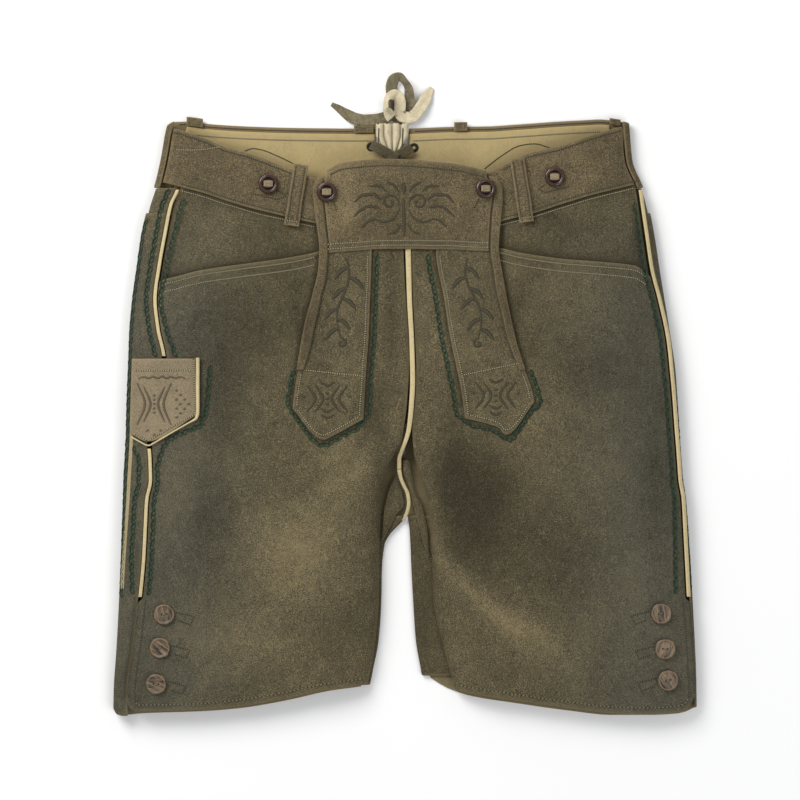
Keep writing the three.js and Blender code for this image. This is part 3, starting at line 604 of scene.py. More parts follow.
def wall(points, thickness):
    """Closed leather wall on a grid of its outer face: the inner face lies back along the normals, and both
    borders are drawn in and joined through a ring that stands a little proud, so the cut edge is rounded."""
    rows, cols = points.shape[:2]
    normal = grid_normals(points)
    outer = points.copy()
    inner = points - normal * thickness
    border = np.ones((rows, cols), bool)
    border[1:-1, 1:-1] = False
    outer[border] -= normal[border] * thickness * 0.28
    inner[border] += normal[border] * thickness * 0.28
    i = np.concatenate([np.arange(rows - 1), np.full(cols - 1, rows - 1), np.arange(rows - 1, 0, -1), np.zeros(cols - 1, int)])
    j = np.concatenate([np.zeros(rows - 1, int), np.arange(cols - 1), np.full(rows - 1, cols - 1), np.arange(cols - 1, 0, -1)])
    inward = points[np.clip(i, 1, rows - 2), np.clip(j, 1, cols - 2)] - points[i, j]
    inward /= np.maximum(np.linalg.norm(inward, axis=-1, keepdims=True), 1e-9)
    ring = points[i, j] - normal[i, j] * thickness * 0.5 - inward * 0.09 * thickness
    half = rows * cols
    verts = np.concatenate([outer.reshape(-1, 3), inner.reshape(-1, 3), ring])
    index = np.arange(half).reshape(rows, cols)
    a, b, c, d = index[:-1, :-1], index[1:, :-1], index[1:, 1:], index[:-1, 1:]
    top = np.stack([a, b, c, d], axis=-1).reshape(-1, 4)
    under = np.stack([a, d, c, b], axis=-1).reshape(-1, 4) + half
    edge = index[i, j]
    after = np.roll(edge, -1)
    rim = 2 * half + np.arange(len(edge))
    rim_after = np.roll(rim, -1)
    upper = np.stack([edge, rim, rim_after, after], axis=-1)
    lower = np.stack([rim, edge + half, after + half, rim_after], axis=-1)
    quads = np.concatenate([top, under, upper, lower])
    near = np.minimum(*[np.minimum(*run_lengths(points, axis)) for axis in (0, 1)])
    rim_mask = np.exp(-((near / 0.9) ** 2)).ravel()
    masks = {
        "rim": np.concatenate([rim_mask, rim_mask, np.ones(len(edge))]),
        "flesh": np.concatenate([np.zeros(half), np.ones(half), np.full(len(edge), 0.6)]),
    }
    across, _ = run_lengths(points, 0)
    along, _ = run_lengths(points, 1)
    flat = np.stack([along.ravel(), across.ravel()], axis=-1)
    uv = np.concatenate([flat, flat, flat[edge]])
    return SimpleNamespace(verts=verts, quads=quads, masks=masks, uv=uv, points=points)


def seam_shade(x, y):
    """Painted shade beside seams and laps: the largest of exp(-(distance / 2.4)^2) over the seam lines' points."""
    lines = shade_lines()
    flat = np.stack([x.ravel(), y.ravel()], axis=-1)
    shade = np.zeros(len(flat))
    for low in range(0, len(flat), 600):
        block = flat[low : low + 600, None, :] - lines[None]
        nearest = np.sqrt((block**2).sum(axis=-1).min(axis=1))
        shade[low : low + 600] = np.exp(-((nearest / 2.4) ** 2))
    return shade.reshape(x.shape)


def shade_lines():
    """Points every 2 mm on the pipings, the bindings, the strips and the band's lower edge, beside which shade is
    painted.
    """
    if SHADE_CACHE:
        return SHADE_CACHE[0]
    lines = []
    for half in HALVES.values():
        y = np.arange(VENT_TOP, YOKE_TOP, 2.0)
        lines.append((half.piping(y) + half.side * 0.5, y))
        y = np.arange(8.0, 166.0, 2.0)
        lines.append((vars(STRIPS)[half.name + "_in"](y) - half.side * 1.2, y))
        y = np.arange(44.0, 222.0, 2.0)
        lines.append((vars(BINDINGS)[half.name + "_out"](y) + half.side * 1.0, y))
        y = np.arange(14.0, 46.0, 2.0)
        lines.append((vars(STRIPS)[half.name + "_out"](y) + half.side * 1.0, y))
        out, inn = vars(STRIPS)[half.name + "_out"], vars(STRIPS)[half.name + "_in"]
        share = np.linspace(0, 1, 60)
        tip = vars(STRIP_TIP)[half.name](share)
        start, end = (out, inn) if half.side < 0 else (inn, out)
        lines.append((mix(start(tip), end(tip), share), tip - 1.2))
        x = np.arange(80.0, 205.0, 2.0) * half.side
        lines.append((x, WAIST.band_seam(x) - 1.0))
        y = np.arange(VENT_TOP - 90, VENT_TOP, 2.0)
        lines.append((half.piping(y) + half.side * 3.4, y))
    y = np.arange(-48.0, 152.0, 2.0)
    lines += [(CENTRE_SEAM.x(y) + side * (CENTRE_SEAM.half(y) + 0.4), y) for side in (-1, 1)]
    y = np.arange(2.0, 54.0, 2.0)
    lines.append((KNIFE_POCKET.inn(y) + 4.0, y))
    SHADE_CACHE.append(np.concatenate([np.stack(pair, axis=-1) for pair in lines]))
    return SHADE_CACHE[0]


SHADE_CACHE = []


def finish_piece(name, shape, material, nodes=(), smooth_faces=True):
    """Turns a shape in millimetres into a mesh object in metres that rides on the body and stands for its nodes."""
    mesh = bpy.data.meshes.new(name)
    mesh.from_pydata((shape.verts * MM).tolist(), [], shape.quads.tolist())
    mesh.validate()
    if smooth_faces:
        mesh.shade_smooth()
    for key, values in shape.masks.items():
        layer = mesh.attributes.new(key, "FLOAT", "POINT")
        layer.data.foreach_set("value", np.ascontiguousarray(values, dtype=np.float32))
    if shape.uv is not None:
        layer = mesh.uv_layers.new(name="flat")
        corner = np.empty(len(mesh.loops), dtype=np.int32)
        mesh.loops.foreach_get("vertex_index", corner)
        layer.uv.foreach_set("vector", np.ascontiguousarray((shape.uv * MM)[corner].ravel(), dtype=np.float32))
    mesh.materials.append(material)
    piece = bpy.data.objects.new(name, mesh)
    bpy.context.scene.collection.objects.link(piece)
    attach(piece, BODY)
    if nodes:
        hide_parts(*nodes)
    return piece


def declare_sheet(piece, shape):
    """Notes the cut of a piece: its longest row and column along the surface, and the area of its outer face."""
    p = shape.points
    width = run_lengths(p, 0)[0].max() * MM
    length = run_lengths(p, 1)[0].max() * MM
    a, b = p[1:, 1:] - p[:-1, :-1], p[1:, :-1] - p[:-1, 1:]
    area = np.linalg.norm(np.cross(a, b), axis=-1).sum() / 2 * MM * MM
    FLAT_SIZES[piece.name] = [round(width, 4), round(length, 4), round(float(area), 5)]


# small pieces too narrow to be sheets of their own, under the sheet that each is sewn to
SEWN_TO = {
    "front_right_suede": ["side_piping_right_upper_leather", "side_piping_right_lower_leather",
                          "front_seam_piping_leather", "crotch_piping_leather"],
    "front_left_suede": ["side_piping_left_leather"],
    "seat_right_suede": ["outer_piping_right_leather"],
    "seat_left_suede": ["crotch_fork_left_suede"],
    "waistband_back_right_suede": ["belt_loop_back_1_suede", "belt_loop_back_2_suede"],
    "waistband_back_left_suede": ["belt_loop_back_3_suede", "belt_loop_back_4_suede"],
    "lace_gusset_leather": ["lace_cross_right_lace", "lace_cross_left_lace"],
}
FLAT_SIZES = {}


def leather_masks(shape, shaded=True):
    """Wear with painted highlight and shade, coolness towards the sides and painted shade beside seams of a leather
    piece, from where it lies.
    """
    x, y = shape.verts[:, 0], shape.verts[:, 1]
    wear = sum(spot[5] * bump(x, y, spot[:5]) for spot in WEAR_AND_SHADING)
    shape.masks["wear"] = np.clip(wear, -1.0, 1.0)
    shape.masks["cool"] = ease((np.abs(x) - 95.0) / 140.0) * ease((250.0 - y) / 160.0)
    shape.masks["shade"] = seam_shade(x, y) if shaded else np.zeros(len(x))
    return shape


def laid(from_x, to_x, low, high, out, us, vs, thickness):
    """Panel laid on the front's outer face, its own outer face `out` above it."""
    x, y = cut(from_x, to_x, low, high, *plane(us, vs))
    return wall(on_front(x, y, out)[0], thickness)


def back_point(half, y, t, start, inner, inset):
    """Ring of the back: t from 0 to 1 goes down the roll, to 2 round the curl, and to 3 along the table."""
    outline = half.outline(y) - half.side * inset
    width, edge = DRAPE.roll(y), DRAPE.edge(y)
    share = np.clip(half.side * (outline - start) / width, 0.0, 1.0)
    angle = np.arccos((1.0 - share) ** (ROLL_POWER / 2)) * np.clip(1.0 - t, 0.0, 1.0)
    down = width * (1.0 - np.cos(angle) ** (2 / ROLL_POWER))
    rise = edge + (DRAPE.crown(y) - edge) * np.sin(angle) ** (2 / ROLL_RISE)
    turn = np.clip(t - 1.0, 0.0, 1.0) * np.pi / 2
    curled = CURL * (1.0 - np.clip(np.cos(turn), 0.0, 1.0) ** (2 / ROLL_POWER))
    low = edge * (1.0 - np.sin(turn) ** (2 / ROLL_RISE))
    x = np.where(t <= 1.0, outline - half.side * down, outline - half.side * curled)
    x = np.where(t > 2.0, mix(outline - half.side * CURL, inner, np.clip(t - 2.0, 0.0, 1.0)), x)
    z = np.where(t <= 1.0, rise, np.where(t <= 2.0, low, 0.0))
    return np.stack([x, y, z], axis=-1)


def back_wall(half, start, inner, low, high, ts, vs, thickness, inset=0.0):
    """Back piece between two edges y(x), round the outer fold and along the table, facing out."""
    t, v = plane(ts, vs)

    def meet(edge):
        y = edge(half.outline(0.0) + 0 * t)
        for _ in range(4):
            y = edge(back_point(half, y, t, start(y), inner(y), inset)[..., 0])
        return y

    y = mix(meet(low), meet(high), v)
    points = back_point(half, y, t, start(y), inner(y), inset)
    if half.side < 0:
        points = points[:, ::-1]
    return wall(points, thickness)


def on_back(half, y, inset, out):
    """Point of the roll `inset` inside the outline, moved out along the normal of its superellipse."""
    probe = 0.4
    y = y + 0 * np.asarray(inset)
    width, edge = DRAPE.roll(y), DRAPE.edge(y)
    height = lambda d: edge + (DRAPE.crown(y) - edge) * roll(d / width)
    slope = (height(inset + probe) - height(np.maximum(inset - probe, 0.05))) / (inset + probe - np.maximum(inset - probe, 0.05))
    normal = np.stack([half.side * slope, 0 * y, np.ones_like(y)], axis=-1)
    normal /= np.linalg.norm(normal, axis=-1, keepdims=True)
    point = np.stack([half.outline(y) - half.side * inset, y, height(inset)], axis=-1)
    return point + normal * np.asarray(out, float)[..., None], normal


# ---- threads and cords ----------------------------------------------------------------------------
def resample(points, pitch):
    """Points about `pitch` apart along a polyline, by interpolating on its length."""
    points = np.asarray(points, float)
    length = np.concatenate([[0.0], np.cumsum(np.linalg.norm(np.diff(points, axis=0), axis=1))])
    count = max(2, int(round(length[-1] / pitch)) + 1)
    at = np.linspace(0.0, length[-1], count)
    return np.stack([np.interp(at, length, points[:, k]) for k in range(points.shape[1])], axis=-1)


def rounded_route(points, pitch):
    """A smooth curve through a route's points, resampled: each coordinate is a limited cubic of the point's number."""
    points = np.asarray(points, float)
    keys = np.arange(len(points))
    fine = np.linspace(0, len(points) - 1, 24 * len(points))
    return resample(np.stack([smooth(keys, points[:, k])(fine) for k in range(points.shape[1])], axis=-1), pitch)


def directions(points):
    """Unit tangents of polylines along the axis before the last."""
    tangent = np.gradient(points, axis=-2)
    return tangent / np.maximum(np.linalg.norm(tangent, axis=-1, keepdims=True), 1e-9)


def tubes(centres, normals, radii, sides=6, squash=0.8, tone=None):
    """Closed tubes round a batch of polylines: ring points are centre + side r cos + normal r squash sin."""
    batch, rings = centres.shape[:2]
    tangent = directions(centres)
    side = np.cross(tangent, normals)
    side /= np.maximum(np.linalg.norm(side, axis=-1, keepdims=True), 1e-9)
    up = np.cross(side, tangent)
    angle = np.arange(sides) * 2 * np.pi / sides
    radii = np.broadcast_to(radii, (batch, rings))[..., None, None]
    circle = side[..., None, :] * np.cos(angle)[:, None] + up[..., None, :] * np.sin(angle)[:, None] * squash
    verts = centres[..., None, :] + radii * circle
    index = np.arange(batch * rings * sides).reshape(batch, rings, sides)
    around = np.roll(index, -1, axis=2)
    body = np.stack([index[:, :-1], index[:, 1:], around[:, 1:], around[:, :-1]], axis=-1).reshape(-1, 4)
    caps = []
    for k in range(0, sides - 2, 2):
        first, last = index[:, 0], index[:, -1]
        caps.append(np.stack([first[:, 0], first[:, k + 1], first[:, k + 2], first[:, k + 3]], axis=-1))
        caps.append(np.stack([last[:, 0], last[:, k + 3], last[:, k + 2], last[:, k + 1]], axis=-1))
    quads = np.concatenate([body] + caps)
    step = np.linalg.norm(np.diff(centres, axis=1), axis=-1)
    run = np.pad(np.cumsum(step, axis=1), ((0, 0), (1, 0)))
    uv = np.stack([np.broadcast_to(run[..., None], index.shape), np.broadcast_to(angle / (2 * np.pi) / MM, index.shape)], axis=-1)
    tone = np.ones((batch, rings)) if tone is None else np.broadcast_to(tone, (batch, rings))
    masks = {"tone": np.broadcast_to(tone[..., None], index.shape).ravel()}
    return SimpleNamespace(verts=verts.reshape(-1, 3), quads=quads, masks=masks, uv=uv.reshape(-1, 2))


def joined(shapes):
    """Several shapes as one, their faces numbered on."""
    offset = np.cumsum([0] + [len(s.verts) for s in shapes[:-1]])
    return SimpleNamespace(
        verts=np.concatenate([s.verts for s in shapes]),
        quads=np.concatenate([s.quads + o for s, o in zip(shapes, offset)]),
        masks={key: np.concatenate([s.masks[key] for s in shapes]) for key in shapes[0].masks},
        uv=np.concatenate([s.uv for s in shapes]),
    )


# dark flattened tubes at the needle holes: painted shade of the holes
HOLES = []


def stitch_row(route, surface, pitch, radius=0.42, stretch=0.6):
    """Running stitches on a route (x, y): each is a short tube that rises from its hole and dips into the next."""
    route = resample(np.asarray(route, float), pitch)
    if len(route) < 2:
        route = np.repeat(route, 2, axis=0)
    s = np.array([-1.0, -0.5, 0.5, 1.0])
    start, end = route[:-1], route[1:]
    middle, reach = (start + end) / 2, (end - start) / 2 * stretch
    flat = middle[:, None] + reach[:, None] * s[None, :, None]
    point, normal = surface(flat[..., 0], flat[..., 1])
    dip = radius * (0.8 - 1.6 * s**4)
    run = (end - start) / np.maximum(np.linalg.norm(end - start, axis=1, keepdims=True), 1e-9)
    hole, up = surface(*np.moveaxis(start[:, None] + run[:, None] * np.array([-0.36, 0.36])[None, :, None], -1, 0))
    # a dark flattened tube at the hole, standing in for its shade
    HOLES.append(tubes(hole + 0.1 * up, up, 0.6, 6, 0.35))
    # tone falls to 0 at both ends: painted shade where each stitch sinks into its hole
    return tubes(point + normal * dip[None, :, None], normal, radius * (1 - 0.3 * s**4), tone=1.0 - s**4)


def chain_row(route, surface, pitch=4.7, width=1.4, radius=0.54, seed=0):
    """Chain stitches on a route: in each link two threads leave one hole, bow apart by half a sine and close past
    the next hole, and the links lean by turns to either side."""
    route = resample(np.asarray(route, float), pitch)
    tangent = directions(route[None])[0][:-1]
    start = route[:-1]
    link = np.linalg.norm(np.diff(route, axis=0), axis=1)[:, None]
    across = np.stack([-tangent[:, 1], tangent[:, 0]], axis=-1)
    t = np.linspace(0.0, 1.0, 6)
    wobble = np.random.default_rng(seed).normal(0.0, 0.16, (len(start), 2))
    turn = np.where(np.arange(len(start)) % 2 == 0, 1.0, -1.0)[:, None] * (1.0 - 1.8 * t[None])
    shapes = []
    for number, side in enumerate((-1.0, 1.0)):
        bow = side * width * np.sin(np.pi * t**1.25) ** 0.8
        bow = bow[None] * (1.0 + wobble[:, number : number + 1]) + side * 0.2 + turn
        run = link * (1.34 * t[None] - 0.04 + 0.06 * wobble[:, number : number + 1])
        flat = start[:, None] + tangent[:, None] * run[..., None] + across[:, None] * bow[..., None]
        point, normal = surface(flat[..., 0], flat[..., 1])
        lift = radius * (0.25 + 0.75 * np.sin(np.pi * np.clip(t * 0.9 + 0.02, 0, 1)))
        # one strand of each link is painted lighter as a painted highlight and the other darker, with a little random
        # tone
        shade = 0.62 + 0.38 * side + 0.25 * wobble[:, :1]
        shapes.append(tubes(point + normal * lift[None, :, None], normal, radius * (1 - 0.25 * (2 * t - 1) ** 4),
                            tone=np.clip(shade * np.ones_like(t)[None], 0, 1)))
    return joined(shapes)


def front_surface(out):
    """The front's outer face, `out` above it, as a surface for threads."""
    return lambda x, y: on_front(x, y, out)

# ---- materials ------------------------------------------------------------------------------------
class Net:
    """Short hand for the nodes of one tree: inputs given as sockets are linked, others are set."""

    def __init__(self, tree):
        self.tree = tree

    def add(self, kind, inputs=(), **settings):
        made = self.tree.nodes.new(kind)
        for key, value in settings.items():
            setattr(made, key, value)
        for key, value in dict(inputs).items():
            if isinstance(value, bpy.types.NodeSocket):
                self.tree.links.new(value, made.inputs[key])
            else:
                made.inputs[key].default_value = value
        return made

    def math(self, operation, a, b=0.5, clamp=False):
        return self.add("ShaderNodeMath", {0: a, 1: b}, operation=operation, use_clamp=clamp).outputs[0]

    def mix(self, factor, a, b, blend="MIX"):
        made = self.add("ShaderNodeMix", {0: factor, 6: a, 7: b}, data_type="RGBA", blend_type=blend, clamp_factor=True)
        return made.outputs[2]

    def noise(self, vector, scale, detail=3.0, rough=0.55, distortion=0.0):
        inputs = {"Vector": vector, "Scale": scale, "Detail": detail, "Roughness": rough, "Distortion": distortion}
        return self.add("ShaderNodeTexNoise", inputs).outputs["Fac"]

    def span(self, value, low, high, to_low=0.0, to_high=1.0):
        inputs = {"Value": value, "From Min": low, "From Max": high, "To Min": to_low, "To Max": to_high}
        return self.add("ShaderNodeMapRange", inputs, clamp=True).outputs["Result"]

    def place(self, scale=(1, 1, 1), turn=(0, 0, 0), source="Object"):
        coords = self.add("ShaderNodeTexCoord").outputs[source]
        return self.add("ShaderNodeMapping", {"Vector": coords, "Scale": scale, "Rotation": turn}).outputs["Vector"]

    def mask(self, name):
        return self.add("ShaderNodeAttribute", attribute_name=name).outputs["Fac"]


def new_group(name, inputs, outputs):
    """A shader node group with named inputs (name, kind, default) and outputs (name, kind)."""
    tree = bpy.data.node_groups.new(name, "ShaderNodeTree")
    for label, kind, default in inputs:
        socket = tree.interface.new_socket(label, in_out="INPUT", socket_type=kind)
        socket.default_value = default
    for label, kind in outputs:
        tree.interface.new_socket(label, in_out="OUTPUT", socket_type=kind)
    net = Net(tree)
    return net, net.add("NodeGroupInput").outputs, net.add("NodeGroupOutput").inputs


def suede_group():
    """Suede: cloudy wear, mottling, nap and fine grain in colour and height; cooler where masked, with painted shade
    where the shade mask is set.
    """
    if "suede_surface" in bpy.data.node_groups:
        return bpy.data.node_groups["suede_surface"]
    kinds = [("Colour", "NodeSocketColor", (0.1, 0.08, 0.05, 1)), ("Light", "NodeSocketColor", (0.2, 0.16, 0.1, 1)),
             ("Dark", "NodeSocketColor", (0.04, 0.035, 0.02, 1)), ("Cool", "NodeSocketColor", (0.08, 0.08, 0.06, 1)),
             ("Wear", "NodeSocketFloat", 0.0), ("Coolness", "NodeSocketFloat", 0.0), ("Shade", "NodeSocketFloat", 0.0),
             ("Rim", "NodeSocketFloat", 0.0), ("Flesh", "NodeSocketFloat", 0.0), ("Grain", "NodeSocketFloat", 1.0)]
    results = [("Colour", "NodeSocketColor"), ("Height", "NodeSocketFloat"), ("Roughness", "NodeSocketFloat")]
    net, given, out = new_group("suede_surface", kinds, results)
    place = net.place()
    cloud = net.noise(place, 13.0, 4.0, 0.6, 0.4)
    mottle = net.noise(place, 70.0, 5.0, 0.62, 0.8)
    nap = net.noise(net.place((1.0, 0.42, 1.0), (0, 0, 0.5)), 330.0, 4.0, 0.6, 1.2)
    grain = net.noise(place, 1050.0, 3.0, 0.7)
    fleck = net.noise(place, 520.0, 2.0, 0.5)
    # wear with painted highlight and painted shade, from the map
    tone = net.math("MULTIPLY", given["Wear"], 0.66)
    for source, strength in ((cloud, 0.7), (mottle, 0.5), (nap, 0.75)):
        tone = net.math("ADD", tone, net.math("MULTIPLY", net.math("SUBTRACT", source, 0.5), strength))
    grained = net.math("MULTIPLY", net.math("MULTIPLY", net.math("SUBTRACT", grain, 0.5), 3.6), given["Grain"])
    tone = net.math("ADD", tone, grained)
    tone = net.math("ADD", tone, net.span(fleck, 0.68, 0.82, 0.0, 0.22))
    base = net.mix(given["Coolness"], given["Colour"], given["Cool"])
    darker = net.mix(net.span(tone, -0.75, 0.03), given["Dark"], base)
    colour = net.mix(net.span(tone, 0.0, 0.75), darker, net.mix(net.math("MULTIPLY", given["Coolness"], 0.5), given["Light"], base))
    # painted shade: darker where the shade mask is set
    colour = net.mix(net.math("MULTIPLY", given["Shade"], 0.78), colour, given["Dark"])
    colour = net.mix(net.math("MULTIPLY", given["Rim"], 0.5), colour, given["Light"])
    colour = net.mix(net.math("MULTIPLY", given["Flesh"], 0.45), colour, given["Light"])
    net.tree.links.new(colour, out["Colour"])
    height = net.math("ADD", net.math("MULTIPLY", grain, 0.6), net.math("MULTIPLY", nap, 0.7))
    height = net.math("ADD", height, net.math("MULTIPLY", mottle, 1.6))
    net.tree.links.new(height, out["Height"])
    net.tree.links.new(net.span(nap, 0.3, 0.7, 0.86, 0.98), out["Roughness"])
    return net.tree


def thread_group():
    """Twisted thread: a slanting sine over its length and round it, with painted shade in the grooves and at its sunk
    ends.
    """
    if "twisted_thread" in bpy.data.node_groups:
        return bpy.data.node_groups["twisted_thread"]
    kinds = [("Colour", "NodeSocketColor", (0.1, 0.1, 0.1, 1)), ("Dark", "NodeSocketColor", (0.02, 0.02, 0.02, 1)),
             ("Tone", "NodeSocketFloat", 1.0), ("Pitch", "NodeSocketFloat", 0.0011)]
    net, given, out = new_group("twisted_thread", kinds, [("Colour", "NodeSocketColor"), ("Height", "NodeSocketFloat")])
    flat = net.add("ShaderNodeSeparateXYZ", {0: net.add("ShaderNodeTexCoord").outputs["UV"]}).outputs
    phase = net.math("ADD", net.math("DIVIDE", flat[0], given["Pitch"]), flat[1])
    wave = net.math("SINE", net.math("MULTIPLY", phase, 6.2832))
    groove = net.span(wave, -1.0, 0.6)
    fuzz = net.noise(net.place(), 900.0, 2.0)
    # painted shade: darker where Tone is low and in the grooves of the twist
    light = net.math("MULTIPLY", net.span(given["Tone"], 0.0, 0.75), net.span(groove, 0.0, 1.0, 0.62, 1.0))
    light = net.math("MULTIPLY", light, net.span(fuzz, 0.3, 0.7, 0.8, 1.08))
    net.tree.links.new(net.mix(light, given["Dark"], given["Colour"]), out["Colour"])
    net.tree.links.new(groove, out["Height"])
    return net.tree


def new_material(name, **settings):
    """A material with a Principled BSDF whose plain values are set on its own sockets."""
    material = bpy.data.materials.new(name)
    material.use_nodes = True
    net = Net(material.node_tree)
    shader = material.node_tree.nodes["Principled BSDF"]
    for key, value in settings.items():
        shader.inputs[key.replace("_", " ")].default_value = value
    return material, net, shader


def made(name, build):
    """The named material, built the first time it is asked for."""
    label = "leder_" + name
    return bpy.data.materials.get(label) or build(label)


def tint(colour, factor, warm=0.0):
    """A colour made lighter or darker by a factor, and warmer by `warm`."""
    r, g, b = (c * factor for c in colour[:3])
    return (min(1.0, r * (1 + warm)), min(1.0, g), min(1.0, b * (1 - warm)), 1.0)


def leather(name, colour, light=2.7, dark=0.34, grain=1.0, cool=True, bump_size=0.0005):
    """Suede of one colour with its lighter variant for wear, cut edges and painted highlight, its darker one for darker
    tone and painted shade, and its cool variant.
    """

    def build(label):
        material, net, shader = new_material(label, Sheen_Weight=0.22, Sheen_Roughness=0.45, Specular_IOR_Level=0.12)
        shader.inputs["Sheen Tint"].default_value = tint(colour, 3.2)
        group = net.add("ShaderNodeGroup", node_tree=suede_group())
        plain = {"Colour": tint(colour, 1.0), "Light": tint(colour, light, 0.06), "Dark": tint(colour, dark),
                 "Cool": (colour[0] * 0.88, colour[1] * 1.0, colour[2] * 1.28, 1) if cool else tint(colour, 1.0), "Grain": grain}
        for key, value in plain.items():
            group.inputs[key].default_value = value
        for socket, mask in (("Wear", "wear"), ("Coolness", "cool"), ("Shade", "shade"), ("Rim", "rim"), ("Flesh", "flesh")):
            net.tree.links.new(net.mask(mask), group.inputs[socket])
        net.tree.links.new(group.outputs["Colour"], shader.inputs["Base Color"])
        net.tree.links.new(group.outputs["Roughness"], shader.inputs["Roughness"])
        lifted = net.add("ShaderNodeBump", {"Strength": 0.9, "Distance": bump_size, "Height": group.outputs["Height"]})
        net.tree.links.new(lifted.outputs["Normal"], shader.inputs["Normal"])
        return material

    return made(name, build)


def thread(name, colour, dark=0.25, pitch=0.0011, gloss=0.6):
    """Sewing or embroidery thread of one colour."""

    def build(label):
        material, net, shader = new_material(label, Roughness=gloss, Specular_IOR_Level=0.3)
        group = net.add("ShaderNodeGroup", node_tree=thread_group())
        group.inputs["Colour"].default_value = tint(colour, 1.0)
        group.inputs["Dark"].default_value = tint(colour, dark)
        group.inputs["Pitch"].default_value = pitch
        net.tree.links.new(net.mask("tone"), group.inputs["Tone"])
        net.tree.links.new(group.outputs["Colour"], shader.inputs["Base Color"])
        lifted = net.add("ShaderNodeBump", {"Strength": 0.6, "Distance": 0.00015, "Height": group.outputs["Height"]})
        net.tree.links.new(lifted.outputs["Normal"], shader.inputs["Normal"])
        return material

    return made(name, build)


def horn_material(colour):
    """Stag horn: long dark and light streaks along one way of the button, a pale polished rim and faint pores."""

    def build(label):
        material, net, shader = new_material(label, Specular_IOR_Level=0.45, Coat_Weight=0.15, Coat_Roughness=0.3)
        uv = net.add("ShaderNodeTexCoord").outputs["UV"]
        streak_at = net.add("ShaderNodeMapping", {"Vector": uv, "Scale": (1.0, 0.11, 1.0)}).outputs["Vector"]
        streak = net.noise(streak_at, 520.0, 4.0, 0.6, 0.9)
        broad = net.noise(streak_at, 190.0, 3.0, 0.6, 1.6)
        pores = net.noise(uv, 2200.0, 2.0)
        tone = net.math("ADD", net.math("MULTIPLY", streak, 0.55), net.math("MULTIPLY", broad, 0.45))
        colour_now = net.mix(net.span(tone, 0.43, 0.49), tint(colour, 0.16), tint(colour, 0.95))
        colour_now = net.mix(net.span(tone, 0.51, 0.57), colour_now, tint(colour, 2.1, 0.05))
        colour_now = net.mix(net.span(pores, 0.62, 0.72, 0.0, 0.5), colour_now, tint(colour, 0.25))
        colour_now = net.mix(net.mask("rim"), colour_now, tint(colour, 1.7, 0.04))
        # painted shade: the button holes are coloured almost black
        colour_now = net.mix(net.mask("hole"), colour_now, (0.008, 0.006, 0.005, 1))
        net.tree.links.new(colour_now, shader.inputs["Base Color"])
        net.tree.links.new(net.span(tone, 0.4, 0.6, 0.38, 0.6), shader.inputs["Roughness"])
        lifted = net.add("ShaderNodeBump", {"Strength": 0.5, "Distance": 0.0004, "Height": tone})
        net.tree.links.new(lifted.outputs["Normal"], shader.inputs["Normal"])
        return material

    return made("stag_horn", build)


def ring_material(colour):
    """Polished oxblood ring: deep red-brown with slow clouding, with a painted highlight on its crest, under a clear
    coat.
    """

    def build(label):
        material, net, shader = new_material(label, Specular_IOR_Level=0.5, Coat_Weight=0.6, Coat_Roughness=0.12)
        cloud = net.noise(net.place(), 260.0, 3.0, 0.6, 1.0)
        scratch = net.noise(net.place((1.0, 0.2, 1.0)), 1500.0, 2.0)
        colour_now = net.mix(net.span(cloud, 0.35, 0.65), tint(colour, 0.55), tint(colour, 1.5))
        # painted highlight: lighter where the rim mask is set
        colour_now = net.mix(net.math("MULTIPLY", net.mask("rim"), 0.55), colour_now, tint(colour, 3.0, 0.1))
        net.tree.links.new(colour_now, shader.inputs["Base Color"])
        net.tree.links.new(net.span(scratch, 0.4, 0.7, 0.2, 0.42), shader.inputs["Roughness"])
        lifted = net.add("ShaderNodeBump", {"Strength": 0.2, "Distance": 0.0001, "Height": scratch})
        net.tree.links.new(lifted.outputs["Normal"], shader.inputs["Normal"])
        return material

    return made("oxblood_ring", build)


# ---- what a user would change ---------------------------------------------------------------------
def length_prop(name, description, default):
    return bpy.props.FloatProperty(name=name, description=description, default=default, min=0.0001, precision=5, unit="LENGTH")


def colour_prop(name, description, default):
    return bpy.props.FloatVectorProperty(name=name, description=description, default=default, size=3, min=0.0, max=1.0,
                                         subtype="COLOR")


class LederSizes(bpy.types.PropertyGroup):
    """Thicknesses, stitches and grid cells of the garment."""

    suede: length_prop("Suede", "Thickness of the main leather", 0.0018)
    band: length_prop("Waistband", "Thickness of the doubled leather of the waistband", 0.002)
    thin: length_prop("Lining", "Thickness of the lining, facings and gusset", 0.0012)
    cell: length_prop("Grid cell", "Size of the mesh cells on the leather panels", 0.003)
    fine_stitch: length_prop("Fine stitch", "Length of a stitch on the flap, pockets and waistband", 0.0021)
    hem_stitch: length_prop("Hem stitch", "Length of a stitch along the hems", 0.0036)
    chain_link: length_prop("Chain link", "Length of one link of the green chain stitch", 0.0046)
    fold_strength: bpy.props.FloatProperty(name="Folds", description="Height of the soft folds, times the drawn one",
                                           default=1.5, min=0.0, max=3.0, subtype="FACTOR")


